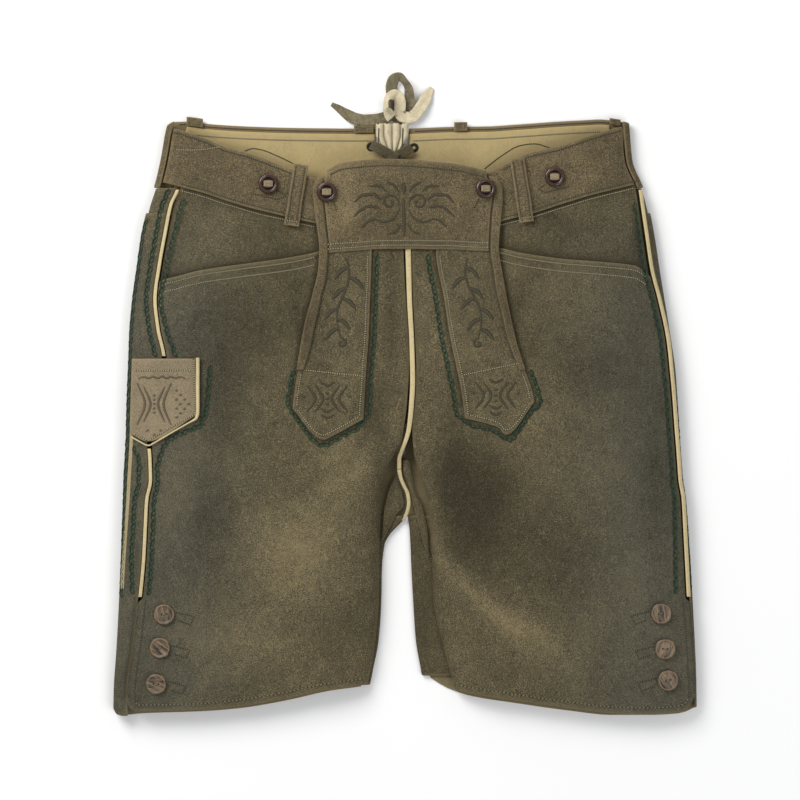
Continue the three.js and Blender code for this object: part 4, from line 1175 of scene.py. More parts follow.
class LederColours(bpy.types.PropertyGroup):
    """Colours of the leathers, threads, buttons and laces."""

    suede: colour_prop("Suede", "Main leather", (0.089, 0.075, 0.043))
    pocket: colour_prop("Knife pocket", "Leather of the knife pocket", (0.235, 0.190, 0.122))
    band: colour_prop("Band and flap", "Leather of the waistband and the flap", (0.096, 0.077, 0.044))
    lining: colour_prop("Lining", "Leather inside the waist", (0.40, 0.315, 0.155))
    piping: colour_prop("Piping", "Leather of the pipings", (0.55, 0.46, 0.26))
    chain: colour_prop("Chain thread", "Green thread of the chain stitches", (0.020, 0.062, 0.030))
    thread: colour_prop("Sewing thread", "Thread of the seams", (0.46, 0.41, 0.26))
    ornament: colour_prop("Ornament thread", "Thread of the scrolls on flap, strips and pocket", (0.078, 0.070, 0.040))
    horn: colour_prop("Horn", "Buttons of the vents", (0.100, 0.070, 0.042))
    ring: colour_prop("Ring", "Rings of the waist and flap buttons", (0.030, 0.009, 0.004))
    lace: colour_prop("Lace", "Outside of the laces", (0.165, 0.140, 0.085))
    lace_inside: colour_prop("Lace inside", "Inside of the laces and the gusset", (0.62, 0.54, 0.37))


def sizes():
    """The thicknesses and stitch lengths as set by the user, in millimetres."""
    given = bpy.context.scene.leder_sizes
    return SimpleNamespace(**{key: getattr(given, key) / MM for key in
                              ("suede", "band", "thin", "cell", "fine_stitch", "hem_stitch", "chain_link")})


def colours():
    return bpy.context.scene.leder_colours


def suede():
    return leather("suede", colours().suede)


def band_suede():
    return leather("band_suede", colours().band)

# ---- pieces ---------------------------------------------------------------------------------------
def outside_first(half, outer, inner):
    """The two side edges of a piece from -X to +X, so that its grid faces up."""
    return (outer, inner) if half.side < 0 else (inner, outer)


def front_seam(half):
    """The front's side edge: at the side piping, and lapping out over the back below the top of the vent."""
    return lambda y: half.piping(y) - half.side * (PIPING_HALF + SEAM - VENT_LAP * ease((VENT_TOP - y) / 7.0))


def rounded_hem(half, radius=9.0):
    """The front's hem, with a quarter round of the given radius where it meets the vent."""
    corner = front_seam(half)(-262.0)

    def edge(x, u):
        off = np.clip(radius - np.abs(x - corner), 0.0, radius)
        return HEM.front(x) + radius - np.sqrt(radius**2 - off**2)

    return edge


def make_fronts():
    s = sizes()
    for half in HALVES.values():
        edges = outside_first(half, front_seam(half), half.fold)
        us, vs = steps(240, s.cell), steps(420, s.cell)
        x, y = cut(*edges, rounded_hem(half), lambda x, u: POCKET_MOUTH.y(x), *plane(us, vs))
        shape = leather_masks(wall(on_front(x, y)[0], s.suede))
        piece = finish_piece(f"front_{half.name}_suede", shape, suede(), [f"front_{half.name}"])
        declare_sheet(piece, shape)


def make_facings():
    s = sizes()
    for half in HALVES.values():
        edges = outside_first(half, front_seam(half), lambda y, h=half: h.side * FACING_END + 0 * y)
        us, vs = steps(160, 3.4), steps(70, 3.4)
        low, high = (lambda x, u: POCKET_MOUTH.y(x) - 14.0), (lambda x, u: WAIST.band_seam(x) + 6.0)
        x, y = cut(*edges, low, high, *plane(us, vs))
        shape = leather_masks(wall(on_front(x, y, -FACING_DROP)[0], s.thin))
        # painted shadow under the band's lower edge and in the pocket mouth, added to the painted shade
        below_band = np.exp(-np.clip(WAIST.band_seam(shape.verts[:, 0]) - shape.verts[:, 1], 0, 99) / 5.0)
        above_mouth = np.exp(-np.clip(shape.verts[:, 1] - POCKET_MOUTH.y(shape.verts[:, 0]), 0, 99) / 5.5)
        shape.masks["shade"] = np.clip(shape.masks["shade"] + 0.7 * below_band + 1.3 * above_mouth, 0, 1)
        piece = finish_piece(f"facing_{half.name}_suede", shape, suede(), [f"pocket_facing_{half.name}"])
        declare_sheet(piece, shape)


BACK_STEPS = np.concatenate([[0.0, 0.02], np.linspace(0.08, 1.0, 14), np.linspace(1.12, 2.0, 9), np.linspace(2.03, 2.97, 38), [3.0]])


def make_backs():
    s = sizes()
    for half in HALVES.values():
        name, side = half.name, half.side
        start = lambda y, h=half: h.piping(y) + h.side * (PIPING_HALF + SEAM) * np.where(y < YOKE_TOP, 1.0, 0.0)

        def inner(y, h=half):
            turned = vars(BACK_INNER)[h.name](y) + h.side * (TURN_LAND + 7 * SEAM)
            return mix(0.4 * h.side, turned, np.clip((-91.5 - y) / 5.0, 0.0, 1.0))

        seat = back_wall(half, start, inner, HEM.back, lambda x: YOKE_SEAM + 0 * x, BACK_STEPS, steps(468, 3.6), s.suede)
        piece = finish_piece(f"seat_{name}_suede", leather_masks(seat), suede(), [f"seat_{name}"])
        declare_sheet(piece, seat)
        yoke = back_wall(half, start, lambda y, h=half: 0.4 * h.side + 0 * y, lambda x: YOKE_SEAM + SEAM + 0 * x,
                         lambda x: YOKE_TOP + 0 * x, BACK_STEPS, steps(23, 3.0), s.suede, YOKE_INSET)
        piece = finish_piece(f"yoke_{name}_suede", leather_masks(yoke), suede(), [f"yoke_{name}"])
        declare_sheet(piece, yoke)
        band_start = lambda y, h=half: h.outline(y) - h.side * BAND_INSET["back"]
        notch = lambda y, h=half: lacing_notch(h.name, y) + h.side * 0.4
        band = back_wall(half, band_start, notch, lambda x: YOKE_TOP + 3 * SEAM + 0 * x, WAIST.back_top, BACK_STEPS,
                         steps(60, 3.0), s.band)
        piece = finish_piece(f"waistband_back_{name}_suede", leather_masks(band, False), band_suede(), [f"waistband_back_{name}"])
        declare_sheet(piece, band)


def lacing_notch(name, y):
    """Edge of the notch for the lace: from its foot out to the named side, over the 12 mm above its low point."""
    return mix(LACE_GAP["foot"], LACE_GAP[name], np.clip((y - LACE_GAP["low"]) / 12.0, 0.0, 1.0))


def lining_face(half, x, y):
    """Height of the lining: flat, and rising by the square of the nearness to the outer fold."""
    near = np.clip(1.0 - np.abs(x - (half.outline(y) - half.side * LINING_INSET)) / 12.0, 0.0, 1.0)
    soft = 0.35 * np.sin(x / 19.0 + 1.1) * np.sin(y / 15.0)
    return sizes().band + SEAM + sizes().thin + 1.6 * near**2 + soft * ease((264.0 - y) / 12.0)


def make_waist():
    s = sizes()
    for half in HALVES.values():
        name, side = half.name, half.side
        start = lambda y, h=half: h.outline(y) - h.side * BAND_INSET["front"]
        end = lambda y, h=half: (-22.0 if h.side < 0 else 26.0) + 0 * y
        x, y = cut(*outside_first(half, start, end), lambda x, u: WAIST.band_seam(x), lambda x, u: WAIST.band_top(x),
                   *plane(steps(200, s.cell), steps(46, s.cell)))
        shape = leather_masks(wall(on_front(x, y)[0], s.band), False)
        piece = finish_piece(f"waistband_front_{name}_suede", shape, band_suede(), [f"waistband_front_{name}"])
        declare_sheet(piece, shape)
        outer = lambda y, h=half: h.outline(y) - h.side * LINING_INSET
        foot = lambda y, h=half: lacing_notch(h.name, y) + h.side * 0.6
        x, y = cut(*outside_first(half, outer, foot), lambda x, u: LINING_LOW + 0 * x,
                   lambda x, u: WAIST.back_top(x) - LINING_DROP, *plane(steps(200, 3.4), steps(82, 3.4)))
        points = np.stack([x, y, lining_face(half, x, y)], axis=-1)
        shape = leather_masks(wall(points, s.thin), False)
        material = leather("lining", colours().lining, 1.2, 0.62, 0.35, False)
        over = shape.verts[:, 1] - WAIST.band_top(shape.verts[:, 0])
        # painted shade on the lining just above the band's top edge
        shape.masks["shade"] = 0.75 * np.exp(-((np.clip(over, 0, 99) / 7.0) ** 2)) * (over > -2)
        piece = finish_piece(f"lining_{name}_leather", shape, material, [f"lining_{name}"])
        declare_sheet(piece, shape)


def make_flap():
    s = sizes()
    right = lambda y: BINDINGS.right_in(y) + FLAP_INSET
    left = lambda y: BINDINGS.left_in(y) - FLAP_INSET
    low, top = (lambda x, u: FLAP_EDGE.low(x)), (lambda x, u: FLAP_EDGE.top(x))
    shape = laid(right, left, low, top, LIFT["flap"] + s.suede, steps(160, 2.2), steps(82, 2.2), s.suede)
    for half in HALVES.values():
        out, inn = vars(BINDINGS)[half.name + "_out"], vars(BINDINGS)[half.name + "_in"]
        us, vs = steps(9, 1.5, 0.6), steps(180, 2.4)
        x, y = cut(*outside_first(half, out, inn), lambda x, u: 44.0 + 0 * x, lambda x, u: 223.0 + 0 * x, *plane(us, vs))
        fold = plane(us, vs)[0]
        crown = 0.9 * np.sin(np.pi * fold) ** 0.7
        trim = leather_masks(wall(on_front(x, y, LIFT["binding"] + s.suede - 0.5 + crown)[0], s.suede), False)
        finish_piece(f"binding_{half.name}_suede", trim, band_suede(), [f"flap_binding_{half.name}"])
    piece = finish_piece("flap_suede", leather_masks(shape, False), band_suede(), ["flap_panel"])
    declare_sheet(piece, shape)


def strip_grid(half, us, vs):
    """Places on an ornamental strip: between its side edges, from its pointed tip up to its hidden top."""
    edges = outside_first(half, vars(STRIPS)[half.name + "_out"], vars(STRIPS)[half.name + "_in"])
    tip = vars(STRIP_TIP)[half.name]
    return cut(*edges, lambda x, u: tip(u), lambda x, u: 166.0 + 0 * x, us, vs)


def make_strips():
    s = sizes()
    for half in HALVES.values():
        x, y = strip_grid(half, *plane(steps(58, 2.2), steps(180, 2.2)))
        shape = leather_masks(wall(on_front(x, y, LIFT["strip"] + s.suede)[0], s.suede), False)
        piece = finish_piece(f"strip_{half.name}_suede", shape, suede(), [f"flap_strip_{half.name}"])
        declare_sheet(piece, shape)


def piping_wall(place, low, high, thickness, cell=1.6):
    """Piping along Y: a strip crowned across as the root of 1 less the square of the share."""
    us, vs = np.linspace(0.0, 1.0, 9), np.linspace(0.0, 1.0, int((high - low) / cell) + 2)
    u, v = plane(us, vs)
    share = 2.0 * u - 1.0
    crown = 0.95 * np.sqrt(np.clip(1.0 - 0.92 * share**2, 0.0, 1.0)) - 0.25
    return wall(place(share, mix(low, high, v), crown), thickness)


def piping_material():
    return leather("piping", colours().piping, 1.3, 0.45, 0.5, False, 0.0002)


def plain_masks(shape, shade=0.0):
    """Masks of a small piece with no map of wear and painted light, and an even painted shade."""
    count = len(shape.verts)
    shape.masks.update(wear=np.zeros(count), cool=np.zeros(count), shade=np.full(count, shade))
    return shape


def make_pipings():
    s = sizes()
    material = piping_material()
    runs = [("side_piping_right_upper", "right", 56.5, 211.0), ("side_piping_right_lower", "right", VENT_TOP, -29.5),
            ("side_piping_left", "left", VENT_TOP, 211.0)]
    for node, name, low, high in runs:
        half = HALVES[name]
        place = lambda a, y, crown, h=half: on_front(h.piping(y) + a * (PIPING_HALF - 0.3), y, PROUD + crown)[0]
        shape = plain_masks(piping_wall(place, low, high, s.thin))
        finish_piece(node + "_leather", shape, material, [node])

    def centre(a, y, crown):
        middle = CENTRE_SEAM.x(y)
        z = front_height(middle, y) + CENTRE_SEAM.z(y) + crown
        return np.stack([middle + a * CENTRE_SEAM.half(y), y, z], axis=-1)

    def crotch(a, y, crown):
        return np.stack([CROTCH_SEAM.x(y) + a * CROTCH_SEAM.half(y), y, CROTCH_SEAM.z(y) + crown], axis=-1)

    shape = plain_masks(piping_wall(centre, -49.3, 160.0, s.suede))
    finish_piece("front_seam_piping_leather", shape, material, ["front_seam_piping"])
    # an even painted shade, for the piping lies deep in the crotch
    shape = plain_masks(piping_wall(crotch, -96.5, -49.2, s.suede), 0.25)
    finish_piece("crotch_piping_leather", shape, material, ["crotch_piping"])
    half = HALVES["right"]

    def outer(a, y, crown):
        inset = mix(3.0, 6.2, ease((y + 163.0) / 120.0))
        return on_back(half, y, inset + 1.7 * a, 0.55 + 0.5 * crown)[0]

    shape = plain_masks(piping_wall(outer, -160.0, -10.0, 0.9))
    finish_piece("outer_piping_right_leather", shape, leather("soft_piping", tint(colours().piping, 0.62), 1.3, 0.45, 0.5, False), [])


def make_crotch():
    s = sizes()
    for name, fork, first, last in (("right", RIGHT_FORK, "out", "inn"), ("left", LEFT_FORK, "inn", "out")):
        u, v = plane(steps(12, 1.4, 0.5), steps(70, 1.8))
        y = mix(fork.low, fork.high, v)
        dome = 1.5 * (1.0 - (2.0 * u - 1.0) ** 2) + 0.35 * np.sin(y / 4.1 + u * 3)
        points = np.stack([mix(vars(fork)[first](y), vars(fork)[last](y), u), y, fork.z(y) + dome], axis=-1)
        shape = leather_masks(wall(points, s.thin), False)
        # an even painted shade in the dark gap of the crotch
        shape.masks["shade"] = np.full(len(shape.verts), 0.25)
        piece = finish_piece(f"crotch_fork_{name}_suede", shape, suede(), [f"crotch_fork_{name}"])
        if piece.name not in SEWN_TO["seat_left_suede"]:
            declare_sheet(piece, shape)
    for half in HALVES.values():
        name, side = half.name, half.side
        inner = vars(BACK_INNER)[name]
        t, v = plane(np.concatenate([[0, 0.12], np.linspace(0.5, 1, 4), np.linspace(1.15, 2, 8), np.linspace(2.15, 2.95, 6), [3]]), steps(180, 2.6))
        low = HEM.back(inner(-270.0))
        for _ in range(4):
            low = HEM.back(inner(low))
        y = mix(low, LEG_TOP + 5.0, v)
        outline = inner(y)
        bend = outline + side * TURN
        angle = np.pi * np.clip(t - 1.0, 0.0, 1.0)
        x = np.where(t <= 1, mix(outline + side * TURN_LAND, bend, np.clip(t, 0, 1)), bend - side * TURN * np.sin(angle))
        x = np.where(t > 2, mix(bend, half.fold(y) + side * 4.0, np.clip(t - 2.0, 0, 1)), x)
        z = TURN * (1.0 - np.cos(angle))
        points = np.stack([x, y, z], axis=-1)
        shape = leather_masks(wall(points[:, ::-1] if side < 0 else points, s.suede), False)
        # an even painted shade on the turned inner edge, in the crotch's gap
        shape.masks["shade"] = np.full(len(shape.verts), 0.3)
        piece = finish_piece(f"inner_edge_{name}_suede", shape, suede(), [f"inner_edge_{name}"])
        declare_sheet(piece, shape)


def make_knife_pocket():
    s = sizes()
    x, y = cut(KNIFE_POCKET.out, KNIFE_POCKET.inn, lambda x, u: KNIFE_POCKET_TIP.y(u), lambda x, u: 54.0 + 0 * x,
               *plane(steps(60, 1.8), steps(74, 1.8)))
    shape = leather_masks(wall(on_front(x, y, LIFT["pocket"] + s.suede)[0], s.suede), False)
    shape.masks["cool"] = np.zeros(len(shape.verts))
    piece = finish_piece("knife_pocket_suede", shape, leather("pocket_suede", colours().pocket, 1.35, 0.45, 0.9, False),
                         ["knife_pocket"])
    route = resample([(-192.6, 55.0), (-192.6, 2.4), (-194.0, -1.6), (-236.5, -26.5), (-240.0, -26.0), (-253.0, -18.6)], 1.5)
    point, normal = on_front(route[:, 0], route[:, 1], LIFT["pocket"] + 1.3)
    thick = 1.7 - 1.0 * ease((2.0 - route[:, 1]) / 8.0)
    cord = tubes(point[None], normal[None], thick[None], 10, 0.8)
    count = len(cord.verts)
    cord.masks.update(rim=np.zeros(count), flesh=np.zeros(count), wear=np.zeros(count), cool=np.zeros(count), shade=np.zeros(count))
    edge = finish_piece("knife_pocket_piping_leather", cord, piping_material(), ["knife_pocket_piping"])
    declare_sheet(piece, shape)


def loop_place(name):
    """Maps (across, along) in millimetres on a front belt loop to x and y."""
    top, low = (np.array(end) for end in FRONT_LOOPS[name])
    run = (top - low) / np.linalg.norm(top - low)
    return lambda across, v: (mix(low[0], top[0], v) + across * run[1], mix(low[1], top[1], v) - across * run[0])


def loop_lift(v):
    """A belt loop stands off the band by a sine of its length."""
    return LIFT["loop"] + LOOP_ARCH * np.sin(np.pi * np.clip(v, 0, 1)) ** 0.6


def make_loops():
    s = sizes()
    for name in FRONT_LOOPS:
        u, v = plane(steps(LOOP_WIDTH, 1.6, 0.6), steps(60, 1.8))
        x, y = loop_place(name)(LOOP_WIDTH * (u - 0.5), v)
        shape = leather_masks(wall(on_front(x, y, loop_lift(v) + s.suede)[0], s.suede), False)
        cut_end = np.exp(-(((shape.verts[:, 1] - y.min()) / 2.4) ** 2))
        shape.masks["rim"] = np.clip(shape.masks["rim"] + 1.8 * cut_end, 0, 1)
        shape.masks["flesh"] = np.clip(shape.masks["flesh"] + 2.0 * cut_end, 0, 2)
        piece = finish_piece(f"belt_loop_front_{name}_suede", shape, band_suede(), [f"belt_loop_front_{name}"])
        declare_sheet(piece, shape)
    for number, (middle, width, rise) in enumerate(BACK_LOOPS, start=1):
        u, v = plane(steps(width, 1.5, 0.6), steps(8, 1.2, 0.5))
        x = middle + width * (u - 0.5)
        edge = WAIST.back_top(x)
        y = mix(edge - 4.0, edge + rise, v)
        shape = leather_masks(wall(np.stack([x, y, 6.4 - 1.6 * v * v], axis=-1), s.suede), False)
        finish_piece(f"belt_loop_back_{number}_suede", shape, band_suede(), [f"belt_loop_back_{number}"])


def disc(radius, cells):
    """A square grid drawn onto a disc: x = u root(1 - v^2 / 2), y = v root(1 - u^2 / 2)."""
    line = np.linspace(-1.0, 1.0, cells + 1)
    u, v = plane(line, line)
    return radius * u * np.sqrt(1 - v * v / 2), radius * v * np.sqrt(1 - u * u / 2)


def button_seat(node, across, along, height, out):
    """Puts local points of a button on the front's face at its node's middle, with Z along the normal there."""
    low, high = (np.array(corner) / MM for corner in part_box(node))
    middle = (low + high) / 2
    foot, normal = on_front(middle[0], middle[1], out)
    first = np.cross([0.0, 1.0, 0.0], normal)
    first /= np.linalg.norm(first)
    second = np.cross(normal, first)
    return foot + across[..., None] * first + along[..., None] * second + height[..., None] * normal


def make_horn_buttons():
    material = horn_material(colours().horn)
    tacks = []
    for number, node in enumerate(n for n in sorted(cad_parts) if n.startswith("horn_button")):
        turn = np.radians((12, -16, 34, 8, 52, 74)[number])
        holes = np.radians((6, -4, 12, 8, 24, -6)[number])
        x, y = disc(HORN_RADIUS - 0.25, 44)
        r = np.hypot(x, y)
        grain = x * np.cos(turn) + y * np.sin(turn)
        cross = y * np.cos(turn) - x * np.sin(turn)
        ribs = 0.10 * np.sin(grain * 2.3 + 0.5 * np.sin(cross * 0.5 + number)) + 0.06 * np.sin(grain * 5.1 + number)
        height = 2.15 + 0.85 * np.exp(-(((r - 8.35) / 1.15) ** 2)) - 0.9 * ease((r - 9.1) / 1.2) + ribs * ease((8.4 - r) / 2.0)
        # mask of the holes, which the material paints almost black as their shade
        hole = 0.0 * x
        for side in (-1, 1):
            away = np.hypot(x - side * 2.1 * np.cos(holes), y - side * 2.1 * np.sin(holes))
            hole = np.maximum(hole, np.exp(-((away / 0.85) ** 4)))
        height = height - 1.3 * hole
        shape = wall(button_seat(node, x, y, height, 0.9), 2.0)
        count = x.size
        rim = np.exp(-(((r.ravel() - 8.5) / 0.7) ** 2)) * 0.8
        extra = len(shape.verts) - 2 * count
        shape.masks["rim"] = np.concatenate([rim, rim * 0, np.full(extra, 0.35)])
        shape.masks["hole"] = np.concatenate([hole.ravel(), hole.ravel() * 0, np.zeros(extra)])
        flat = np.stack([grain.ravel() + 31 * number, cross.ravel()], axis=-1)
        ring_uv = shape.uv[2 * count :] * 0 + flat[0]
        shape.uv = np.concatenate([flat, flat, ring_uv])
        finish_piece(node + "_horn", shape, material, [node])
        s = np.linspace(-1.0, 1.0, 7)
        for shift in (-0.28, 0.28):
            across = 2.1 * s * np.cos(holes) - shift * np.sin(holes)
            along = 2.1 * s * np.sin(holes) + shift * np.cos(holes)
            tacks.append(button_seat(node, across, along, 2.15 + 0.6 * (1 - 2.2 * s**4), 0.9)[None])
    centres = np.concatenate(tacks)
    normals = np.broadcast_to([0.0, 0.0, 1.0], centres.shape)
    shape = tubes(centres, normals, 0.3)
    finish_piece("button_threads", shape, thread("button_thread", (0.20, 0.165, 0.11)), [])


def make_ring_buttons():
    material = ring_material(colours().ring)
    pads, bars = [], []
    for node in ("flap_button_right", "flap_button_left", "waist_button_right", "waist_button_left"):
        out = (LIFT["flap"] + 2.3 if node.startswith("flap") else 0.5) + 0.5
        x, y = disc(RING_RADIUS - 0.25, 44)
        r = np.hypot(x, y)
        crest = np.exp(-(np.abs(r - 7.3) / 2.0) ** 3.2)
        height = 1.5 + 2.6 * crest - 0.6 * ease((r - 9.0) / 1.0)
        shape = wall(button_seat(node, x, y, height, out), 1.4)
        # painted highlight on the ring's crest, stronger on its upper half, towards the key light
        rim = np.exp(-(((r.ravel() - 8.6) / 0.5) ** 2)) * (0.4 + 0.6 * (y.ravel() > 0))
        shape.masks["rim"] = np.concatenate([rim, rim * 0, np.zeros(len(shape.verts) - 2 * x.size)])
        finish_piece(node + "_ring", shape, material, [node])
        u, v = plane(steps(8.6, 0.6, 0.4), steps(6.4, 0.6, 0.4))
        a, b = 8.8 * (u - 0.5), 6.4 * (v - 0.5)
        b = b * (1.0 - 0.16 * (2 * u - 1) ** 2)
        dome = 2.9 + 0.7 * np.sqrt(np.clip(1 - (2 * u - 1) ** 2 * 0.8, 0, 1)) * np.sqrt(np.clip(1 - (2 * v - 1) ** 2 * 0.8, 0, 1))
        pads.append(plain_masks(wall(button_seat(node, a, b, dome, out), 1.4)))
        # dark tubes above and below the shank stand in for the shaded gaps there: painted shade
        s = np.linspace(-1, 1, 9)
        for side in (-1, 1):
            line = button_seat(node, 3.9 * s, side * (4.0 - 0.5 * s * s), 3.0 - 1.2 * s**4, out)
            bars.append(line[None])
    finish_piece("ring_button_shanks", joined(pads), leather("shank", tint(colours().pocket, 0.95), 1.4, 0.4, 1.0, False), [])
    centres = np.concatenate(bars)
    shape = tubes(centres, np.broadcast_to([0.0, 0.0, 1.0], centres.shape), 0.62)
    finish_piece("ring_button_cords", shape, thread("dark_thread", (0.022, 0.015, 0.010)), [])


def lace_shape(route, taper_from, thickness):
    """Flat lace along a route of limited cubics, its width turned out of the table by the tilt; and its centreline."""
    route = np.array(route, float)
    keys = np.arange(len(route))
    x, y, z, tilt = (smooth(keys, route[:, k]) for k in range(4))
    last = len(route) - 1.0
    u, v = plane(np.linspace(0, 1, 9), np.linspace(0, 1, 150))
    t = v * last
    dx = x(np.minimum(t + 0.05, last)) - x(np.maximum(t - 0.05, 0))
    dy = y(np.minimum(t + 0.05, last)) - y(np.maximum(t - 0.05, 0))
    length = np.hypot(dx, dy)
    angle = np.radians(tilt(t))
    taper = 1.0 - 0.7 * np.clip((t - taper_from) / (last - taper_from), 0, 1)
    side = (u - 0.5) * LACE_WIDTH * taper
    base = thickness + z(t) - 1.0 + LACE_WIDTH / 2 * np.abs(np.sin(angle))
    cup = 0.5 * (2 * u - 1) ** 2 + 0.15 * np.sin(t * 5.0 + 3 * u)
    points = np.stack([x(t) + side * np.cos(angle) * dy / length, y(t) - side * np.cos(angle) * dx / length,
                       base + side * np.sin(angle) + cup], axis=-1)
    s = np.linspace(0, last, 80)
    line = np.stack([x(s), y(s), thickness + z(s) - 1.6 + LACE_WIDTH / 2 * np.abs(np.sin(np.radians(tilt(s))))], axis=-1)
    return wall(points, thickness), line


def lace_material():
    """Lace leather: olive suede on its outer face and pale flesh on its inner one."""

    def build(label):
        material, net, shader = new_material(label, Sheen_Weight=0.15, Sheen_Roughness=0.5, Specular_IOR_Level=0.15)
        outside, inside = colours().lace, colours().lace_inside
        grain = net.noise(net.place(), 900.0, 3.0)
        fibre = net.noise(net.place(), 240.0, 3.0)
        tone = net.span(net.math("ADD", grain, fibre), 0.7, 1.3)
        outer = net.mix(tone, tint(outside, 0.62), tint(outside, 1.5))
        inner = net.mix(tone, tint(inside, 0.75), tint(inside, 1.15))
        colour_now = net.mix(net.span(net.mask("flesh"), 0.35, 0.75), outer, inner)
        net.tree.links.new(colour_now, shader.inputs["Base Color"])
        net.tree.links.new(net.span(grain, 0.3, 0.7, 0.8, 0.95), shader.inputs["Roughness"])
        lifted = net.add("ShaderNodeBump", {"Strength": 0.6, "Distance": 0.0003, "Height": net.math("ADD", grain, fibre)})
        net.tree.links.new(lifted.outputs["Normal"], shader.inputs["Normal"])
        return material

    return made("lace_leather", build)


def make_laces():
    thickness = sizes().thin
    for node, route, taper_from in (("tie_short", TIE_SHORT, 13.5), ("tie_long", TIE_LONG, 15.5)):
        shape, line = lace_shape(route, taper_from, thickness)
        if node == "tie_short":
            shape.masks["flesh"] = 1.0 - shape.masks["flesh"]
        piece = finish_piece(node + "_lace", shape, lace_material(), [node])
        length = np.linalg.norm(np.diff(line, axis=0), axis=1).sum() * MM
        FLAT_SIZES[piece.name] = [round(float(length), 4), LACE_WIDTH * MM]


def make_gusset():
    thin = sizes().thin
    u, v = plane(np.linspace(0, 1, 97), np.linspace(0, 1, 26))
    y = mix(GUSSET["low"], GUSSET["high"] - 1.6 * np.abs(np.sin(9.0 * u + 1.0)) * np.abs(np.sin(23 * u)), v)
    spread = np.clip(v * 1.6, 0, 1)
    left = mix(LACE_GAP["foot"] - 4, LACE_GAP["right"], spread)
    right = mix(LACE_GAP["foot"] + 4, LACE_GAP["left"], spread)
    pleat = np.abs(np.sin(np.pi * GUSSET["ribs"] * u)) ** 0.75
    points = np.stack([mix(left, right, u), y, GUSSET["floor"] + thin + GUSSET["rise"] * pleat], axis=-1)
    shape = plain_masks(wall(points, thin))
    # painted shade in the valleys of the pleats
    shape.masks["shade"] = np.concatenate([np.exp(-((pleat.ravel() / 0.42) ** 2))] * 2 + [np.zeros(len(shape.verts) - 2 * pleat.size)])
    shape.masks["flesh"] *= 0
    material = leather("gusset", colours().lace_inside, 1.15, 0.3, 0.3, False)
    piece = finish_piece("lace_gusset_leather", shape, material, ["lace_gusset"])
    declare_sheet(piece, shape)
    for name, start, end, top in (("right", (-32, 254), (-7, 240.5), 9.2), ("left", (6.5, 251), (-8.5, 242.5), 6.2)):
        start, end = np.array(start, float), np.array(end, float)
        run = end - start
        across = np.array([-run[1], run[0]]) / np.linalg.norm(run) * LACE_WIDTH / 2
        u, v = plane(np.linspace(0, 1, 24), np.linspace(0, 1, 9))
        arch = np.sin(np.pi * np.clip(u * 1.2, 0, 1)) ** 0.7
        flat = start + u[..., None] * run + across * (2 * v - 1)[..., None] * 0.86
        height = mix(5.4, top, np.maximum(arch, u)) + 4.6 + 0.4 * (2 * v - 1) ** 2
        # an even painted shade on the crossed laces
        shape = plain_masks(wall(np.concatenate([flat, height[..., None]], axis=-1), thin), 0.15)
        finish_piece(f"lace_cross_{name}_lace", shape, leather("dark_lace", tint(colours().lace, 0.5), 1.7, 0.35, 1.0, False),
                     [f"lace_cross_{name}"])


# ---- sewing ---------------------------------------------------------------------------------------
def line_x(x0, x1, height):
    """Route from x0 to x1 along y(x)."""
    x = np.linspace(x0, x1, 60)
    return np.stack([x, height(x)], axis=-1)


def line_y(y0, y1, place):
    """Route from y0 to y1 along x(y)."""
    y = np.linspace(y0, y1, 60)
    return np.stack([place(y), y], axis=-1)


